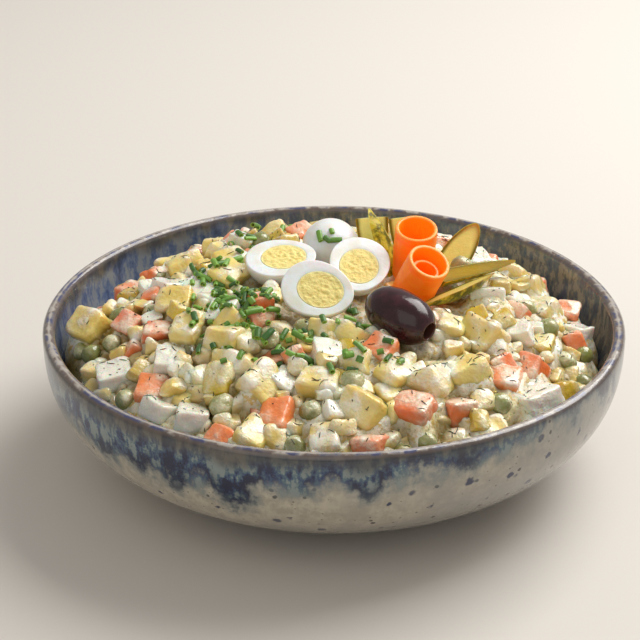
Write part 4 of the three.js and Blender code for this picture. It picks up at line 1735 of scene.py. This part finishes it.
    def tops(self, shapes: list[Shape]) -> np.ndarray:
        """The height of the pieces' tops, each cell taking the highest of itself and its neighbours.

        Args:
            shapes: the pieces.

        Returns:
            A grid of heights, rows along Y and columns along X.
        """
        line = np.arange(0, 2 * RIM_RADIUS + self.cell, self.cell) - RIM_RADIUS
        level = core_height(*np.meshgrid(line, line)) + 1.0
        for shape in shapes:
            column, row = np.rint((shape.points[:, :2].T + RIM_RADIUS) / self.cell).astype(int)
            np.maximum.at(level, (row, column), shape.points[:, 2])
        for axis in (0, 1):
            level = np.maximum.reduce([level, np.roll(level, 1, axis), np.roll(level, -1, axis)])
        return level

    def blurred(self, level: np.ndarray, width: float) -> np.ndarray:
        """Blurs a grid of heights by a bell curve, as a product of the two transforms.

        Args:
            level: the heights.
            width: the bell curve's width in millimetres.

        Returns:
            The blurred heights.
        """
        wave = np.fft.fftfreq(len(level)) * FULL_TURN
        square = wave[:, None] ** 2 + wave[None] ** 2
        keep = np.exp(-square * (width / self.cell) ** 2 / 2)
        return np.real(np.fft.ifft2(np.fft.fft2(level) * keep))

    def dressing_level(self, tops: np.ndarray) -> np.ndarray:
        """The dressing's height: the pieces' tops, blurred, less an uneven drop.

        Args:
            tops: the tops' heights.

        Returns:
            The dressing's heights on the same grid, nearer the tops towards the right.
        """
        line = np.arange(len(tops)) * self.cell - RIM_RADIUS
        x, y = np.meshgrid(line, line)
        flat = np.stack([x, y, 0 * x], -1)
        drop = self.dressing_drop - self.dressing_lean * x / DOME_RADIUS
        drop += 2.2 * grain(flat, 17, 2) + 1.4 * grain(flat, 7, 4)
        return self.blurred(tops, self.blur) - drop

    def level_at(self, level: np.ndarray, x: np.ndarray, y: np.ndarray) -> np.ndarray:
        """Reads a grid of heights between its points.

        Args:
            level: the heights.
            x: places across in millimetres.
            y: places away in millimetres.

        Returns:
            The height at each place.
        """
        column = np.clip((x + RIM_RADIUS) / self.cell, 0, level.shape[1] - 1.001)
        row = np.clip((y + RIM_RADIUS) / self.cell, 0, level.shape[0] - 1.001)
        left, low = column.astype(int), row.astype(int)
        a, b = column - left, row - low
        near = level[low, left] * (1 - a) + level[low, left + 1] * a
        far = level[low + 1, left] * (1 - a) + level[low + 1, left + 1] * a
        return near * (1 - b) + far * b

    def sunk(self, average: np.ndarray, points: np.ndarray) -> np.ndarray:
        """How deep points lie in the gaps, from 0 near the tops around them to 1 at the gap depth: the
        share of painted shade they get.
        """
        x, y, z = points.T
        return smooth((self.level_at(average, x, y) - self.gap_start - z) / self.gap_depth)

    def dressing(self, level: np.ndarray) -> Shape:
        """Makes the dressing: its surface on a polar grid, a skirt down the wall, and a floor.

        Args:
            level: the dressing's heights.

        Returns:
            A closed shape.
        """
        angle = angles(self.dressing_around)
        radius = np.linspace(0, INSIDE_RADIUS, self.dressing_rings + 1)[1:]
        x = radius[:, None] * np.cos(angle)
        y = radius[:, None] * np.sin(angle)
        loops = np.stack([x, y, self.level_at(level, x, y)], -1)
        loops[..., 2] += 1.7 * np.abs(grain(loops, 4.4, 7)) + 0.9 * np.abs(grain(loops, 2.1, 8)) - 0.6
        loops = held_inside(loops)
        down = between(loops[-1, :, 2], CAVITY_FLOOR, np.linspace(0, 1, 13)[1:, None])
        reach = cavity_radius(down)
        skirt = np.stack([reach * np.cos(angle), reach * np.sin(angle), down], -1)
        middle = self.level_at(level, np.zeros(1), np.zeros(1))[0]
        return loft(np.concatenate([loops, skirt]), (0, 0, middle), (0, 0, CAVITY_FLOOR))

    def build(self) -> None:
        """Makes the dice of each kind and the dressing that they sink into."""
        plan = self.plan()
        shapes = {kind: self.dice(kind, plan[kind]) for kind in Kind}
        tops = self.tops(list(shapes.values()))
        average = self.blurred(tops, self.wide_blur)
        for kind, shape in shapes.items():
            # The sunk share sets how much painted shade each point gets
            shape.values["sunk"] = self.sunk(average, shape.points)
            finish = CUTS[kind].finish
            make_piece(finish.name, shape, finish.build(), "salad", "salad")
            LOG.info("%s: %d pieces", finish.name, len(plan[kind]))
        dressing = self.dressing(self.dressing_level(tops))
        # The sunk share sets how much painted shade the dressing gets
        dressing.values["sunk"] = self.sunk(average, dressing.points)
        make_piece("dressing", dressing, Cream().build(), "salad", "salad")


class Landing:
    """Finds the top of whatever is already in the scene."""

    def __init__(self) -> None:
        """Takes the scene as it stands, and the names of the salad's own pieces."""
        bpy.context.view_layer.update()
        self.graph = bpy.context.evaluated_depsgraph_get()
        self.salad = {"dressing", *(cut.finish.name for cut in CUTS.values())}

    def drop(self, x: float, y: float) -> tuple[np.ndarray, np.ndarray, bool]:
        """Sends a ray straight down.

        Args:
            x: millimetres across.
            y: millimetres away.

        Returns:
            The point that it meets in millimetres, the normal there, and whether it is salad.
        """
        start = Vector((x * MM, y * MM, 3 * BOWL_HEIGHT * MM))
        hit, point, normal, _, met, _ = bpy.context.scene.ray_cast(self.graph, start, Vector((0, 0, -1)))
        if not hit:
            return np.array([x, y, core_height(x, y)]), np.array([0, 0, 1.0]), False
        return np.array(point) / MM, np.array(normal), met.name in self.salad


@dataclass
class Chives:
    """Cut chives: short hollow tubes, thickest to the left of the eggs and before them.

    A heap is given as x, y, its spreads across and away, and how many are strewn there.
    """

    radius: float = 1.3
    wall: float = 0.4
    shortest: float = 2.0
    longest: float = 7.0
    bend: float = 0.05
    around: int = 12
    heaps: tuple[tuple[float, float, float, float, int], ...] = (
        (-37, -14, 10, 10, 62), (-46, -34, 9, 9, 26), (-34, -51, 9, 6, 16), (-15, -47, 9, 5, 16),
        (-50, 20, 8, 10, 16), (-53, 2, 7, 7, 9), (-38, 46, 9, 14, 15), (8, -29, 5, 4, 16),
        (-20, -63, 7, 3, 7), (8, -66, 6, 2.5, 6), (22, -61, 4, 3, 4), (-20, -30, 14, 12, 14),
        (10, -13, 4, 2, 5), (-30, 70, 8, 6, 5),
    )
    heap_items: int = 1000
    on_eggs: tuple[tuple[float, float], ...] = (
        (-6, 26.5), (-3, 24.8), (-1, 27.5), (0.5, 24.5), (1.8, -12.5),
    )

    def spots(self, landing: Landing) -> tuple[np.ndarray, np.ndarray, np.ndarray]:
        """A bell-shaped scatter in each heap, kept where it lands on salad, then the ones on eggs.

        Args:
            landing: finds the surface.

        Returns:
            Item numbers, the points under the chives, and the normals there.
        """
        found = []
        for index, (x, y, spread_x, spread_y, count) in enumerate(self.heaps):
            item = self.heap_items * index + np.arange(1, count + 1)
            wide = np.sqrt(-2 * np.log(1 - 0.97 * draw(item, Lot.CHIVE_REACH)))
            angle = FULL_TURN * draw(item, Lot.CHIVE_ANGLE)
            places = zip(item, x + spread_x * wide * np.cos(angle), y + spread_y * wide * np.sin(angle))
            hits = [(i, *landing.drop(u, v)) for i, u, v in places]
            found += [hit[:3] for hit in hits if hit[3]]
        first = self.heap_items * len(self.heaps)
        found += [(first + k, *landing.drop(x, y)[:2]) for k, (x, y) in enumerate(self.on_eggs)]
        return tuple(np.array(column) for column in zip(*found))

    def tube(self) -> tuple[Shape, np.ndarray]:
        """A tube of half length 1: over its outside, round the end, and back through the bore.

        Returns:
            The tube, and for each of its points whether it lies inside.
        """
        bore = self.radius - self.wall
        middle = (self.radius + bore) / 2
        outside = [[-1, self.radius], [-0.35, self.radius], [0.35, self.radius], [1, self.radius]]
        inside = [[1.01, middle], [1, bore], [0, bore], [-1, bore], [-1.01, middle]]
        inner = np.repeat([0.0] * len(outside) + [1.0] * len(inside), self.around)
        return ring(turned(np.array(outside + inside), self.around)), inner

    def build(self, material: Material, landing: Landing) -> None:
        """Lays each tube along the surface under it, a little askew.

        Args:
            material: the chives' finish.
            landing: finds the surface.
        """
        item, ground, up = self.spots(landing)
        length = between(self.shortest, self.longest, draw(item, Lot.CHIVE_LENGTH) ** 1.8)
        up[:, 2] = np.maximum(up[:, 2], 0.45)
        up = normed(up)
        heading = FULL_TURN * draw(item, Lot.CHIVE_HEADING)
        askew = 1.1 * (draw(item, Lot.CHIVE_TILT) - 0.5)
        lie = np.stack([np.cos(heading), np.sin(heading), askew], -1)
        lie = normed(lie - up * (lie * up).sum(1, keepdims=True) * 0.8)
        side = normed(np.cross(up, lie))
        frames = (lie, side, np.cross(lie, side))
        tube, inner = self.tube()
        size = between(0.75, 1.12, draw(item, Lot.CHIVE_SIZE))
        squash = between(0.6, 1, draw(item, Lot.CHIVE_SQUASH))
        scaled = tube.points[None] * np.stack([length / 2, size, size * squash], -1)[:, None]
        scaled[..., 2] += self.bend * (1 - tube.points[None, :, 0] ** 2) * length[:, None]
        base = ground + up * ((self.radius * size * squash)[:, None] * 0.7)
        points = base[:, None] + sum(scaled[..., k : k + 1] * frames[k][:, None] for k in range(3))
        shape = tube.repeated(points, {"inner": inner, "shade": draw(item, Lot.CHIVE_SHADE)[:, None]})
        make_piece("chives_cut", shape, material, "salad", "salad", crease=45)


@dataclass
class Dill:
    """Chopped dill: thin threads that follow the salad's surface, and small flecks."""

    threads: int = 1300
    radius: float = 0.22
    shortest: float = 0.6
    longest: float = 4.6
    bend: float = 0.9
    stations: int = 5
    span: float = 106.0
    most_fall: float = 1.6

    def build(self, material: Material, landing: Landing) -> None:
        """Each thread is a three-sided tube through points dropped on to the surface.

        Threads that would leave the salad or hang over an edge are left out.

        Args:
            material: the dill's finish.
            landing: finds the surface.
        """
        item = np.arange(1, self.threads + 1)
        length = between(self.shortest, self.longest, draw(item, Lot.DILL_LENGTH) ** 1.5)
        radius = self.span * np.sqrt(draw(item, Lot.DILL_REACH))
        angle = FULL_TURN * draw(item, Lot.DILL_ANGLE)
        middle = np.stack([radius * np.cos(angle), radius * np.sin(angle)], -1)
        share = np.linspace(-0.5, 0.5, self.stations)
        heading = FULL_TURN * draw(item, Lot.DILL_HEADING)[:, None]
        heading = heading + self.bend * (draw(item, Lot.DILL_BEND)[:, None] - 0.5) * share
        step = np.stack([np.cos(heading), np.sin(heading)], -1) * (length[:, None] * share)[..., None]
        hits = [[landing.drop(x, y) for x, y in row] for row in middle[:, None] + step]
        path = np.array([[hit[0] for hit in row] for row in hits])
        kept = np.array([all(hit[2] for hit in row) for row in hits])
        kept &= np.ptp(path[..., 2], axis=1) < self.most_fall
        item, path = item[kept], path[kept]
        path[..., 2] += self.radius * 0.7
        tangent = normed(np.gradient(path, axis=1))
        side = normed(np.cross(tangent, np.array([0, 0, 1.0])))[:, :, None]
        over = np.cross(side, tangent[:, :, None])
        taper = (self.radius * (1 - 0.6 * np.abs(2 * share) ** 2))[None, :, None, None]
        corner = angles(3)[:, None]
        skin = path[:, :, None] + taper * (side * np.cos(corner) + over * np.sin(corner))
        points = np.concatenate([skin.reshape(len(item), -1, 3), path[:, [0, -1]]], axis=1)
        shape = loft(skin[0]).repeated(points, {"shade": draw(item, Lot.DILL_SHADE)[:, None]})
        make_piece("dill_threads", shape, material, "salad", "salad")


def look_from(thing: bpy.types.Object, eye: Vector, target: Vector) -> None:
    """Puts a camera or a lamp at one point, looking at another."""
    thing.location = eye
    thing.rotation_euler = (target - eye).to_track_quat("-Z", "Y").to_euler()


@dataclass(frozen=True)
class Lamp:
    """A square soft light that looks at the bowl, in metres and watts."""

    name: str
    at: Triple
    size: float
    power: float
    colour: Colour

    def build(self) -> None:
        """Hangs the lamp."""
        data = bpy.data.lights.new(self.name, "AREA")
        data.size = self.size
        data.energy = self.power
        data.color = self.colour
        look_from(link(self.name, data), Vector(self.at), Vector((0, 0, 0.05)))


@dataclass
class Studio:
    """Camera, lights and floor, in metres."""

    distance: float = 0.8
    elevation: float = 25.4
    lens: float = 104.06
    sensor: float = 36.0
    aim_right: float = -0.0059
    aim_up: float = -0.0032
    lamps: tuple[Lamp, ...] = (
        Lamp("window", (0.75, 0.6, 1.15), 1.1, 25.0, (1.0, 0.99, 0.97)),
        Lamp("fill", (-0.5, -1.3, 1.1), 1.6, 5.0, (1.0, 0.97, 0.93)),
    )
    air: Colour = (1.0, 0.98, 0.95)
    air_strength: float = 0.42
    floor_size: float = 3.0
    floor_colour: Colour = srgb(214, 208, 200)

    def camera(self) -> None:
        """Sets the camera at the photograph's angle, looking a little past the rim's middle."""
        tilt = math.radians(self.elevation)
        rim = Vector((0, 0, BOWL_HEIGHT * MM))
        eye = rim + self.distance * Vector((0, -math.cos(tilt), math.sin(tilt)))
        up = Vector((0, math.sin(tilt), math.cos(tilt)))
        data = bpy.data.cameras.new("photo_camera")
        data.lens = self.lens
        data.sensor_width = self.sensor
        camera = link("photo_camera", data)
        look_from(camera, eye, rim + Vector((self.aim_right, 0, 0)) + self.aim_up * up)
        bpy.context.scene.camera = camera

    def floor(self) -> None:
        """Lays a plain pale floor."""
        half = self.floor_size / 2
        mesh = bpy.data.meshes.new("floor")
        corners = [(-half, -half, 0), (half, -half, 0), (half, half, 0), (-half, half, 0)]
        mesh.from_pydata(corners, [], [(0, 1, 2, 3)])
        mesh.materials.append(Tree("floor_plain").surface(self.floor_colour, 0.7))
        floor = link("floor", mesh)

    def build(self) -> None:
        """Puts up the camera, the floor, the lamps and the air around them."""
        self.camera()
        self.floor()
        for lamp in self.lamps:
            lamp.build()
        world = bpy.data.worlds.new("studio_air")
        world.use_nodes = True
        inputs = world.node_tree.nodes["Background"].inputs
        inputs["Color"].default_value = (*self.air, 1)
        inputs["Strength"].default_value = self.air_strength
        bpy.context.scene.world = world
        bpy.context.scene.view_settings.view_transform = "Standard"


def build_toppings() -> None:
    """Makes the eggs, the olive, the carrot rolls and the gherkin slices."""
    white, yolk = EggWhite().build(), Yolk().build()
    for index, egg in enumerate(EGGS):
        egg.build_half(white, yolk, 10 * index)
    EGG_WHOLE.build_whole(white)
    OLIVE.build(OliveSkin().build())
    ribbon = CarrotRibbon().build()
    for roll in ROLLS:
        roll.build(ribbon)
    pickle = Pickle().build()
    for index, slice_off in enumerate(GHERKINS):
        slice_off.build(pickle, 20 + 3 * index)


def main() -> None:
    """Builds every piece in order, then the stage."""
    logging.basicConfig(level=logging.INFO, format="%(name)s: %(message)s")
    Bowl().build(Glaze().build())
    Heap().build()
    build_toppings()
    landing = Landing()
    Chives().build(ChiveSkin().build(), landing)
    Dill().build(DillLeaf().build(), landing)
    Studio().build()


if __name__ == "__main__":
    main()
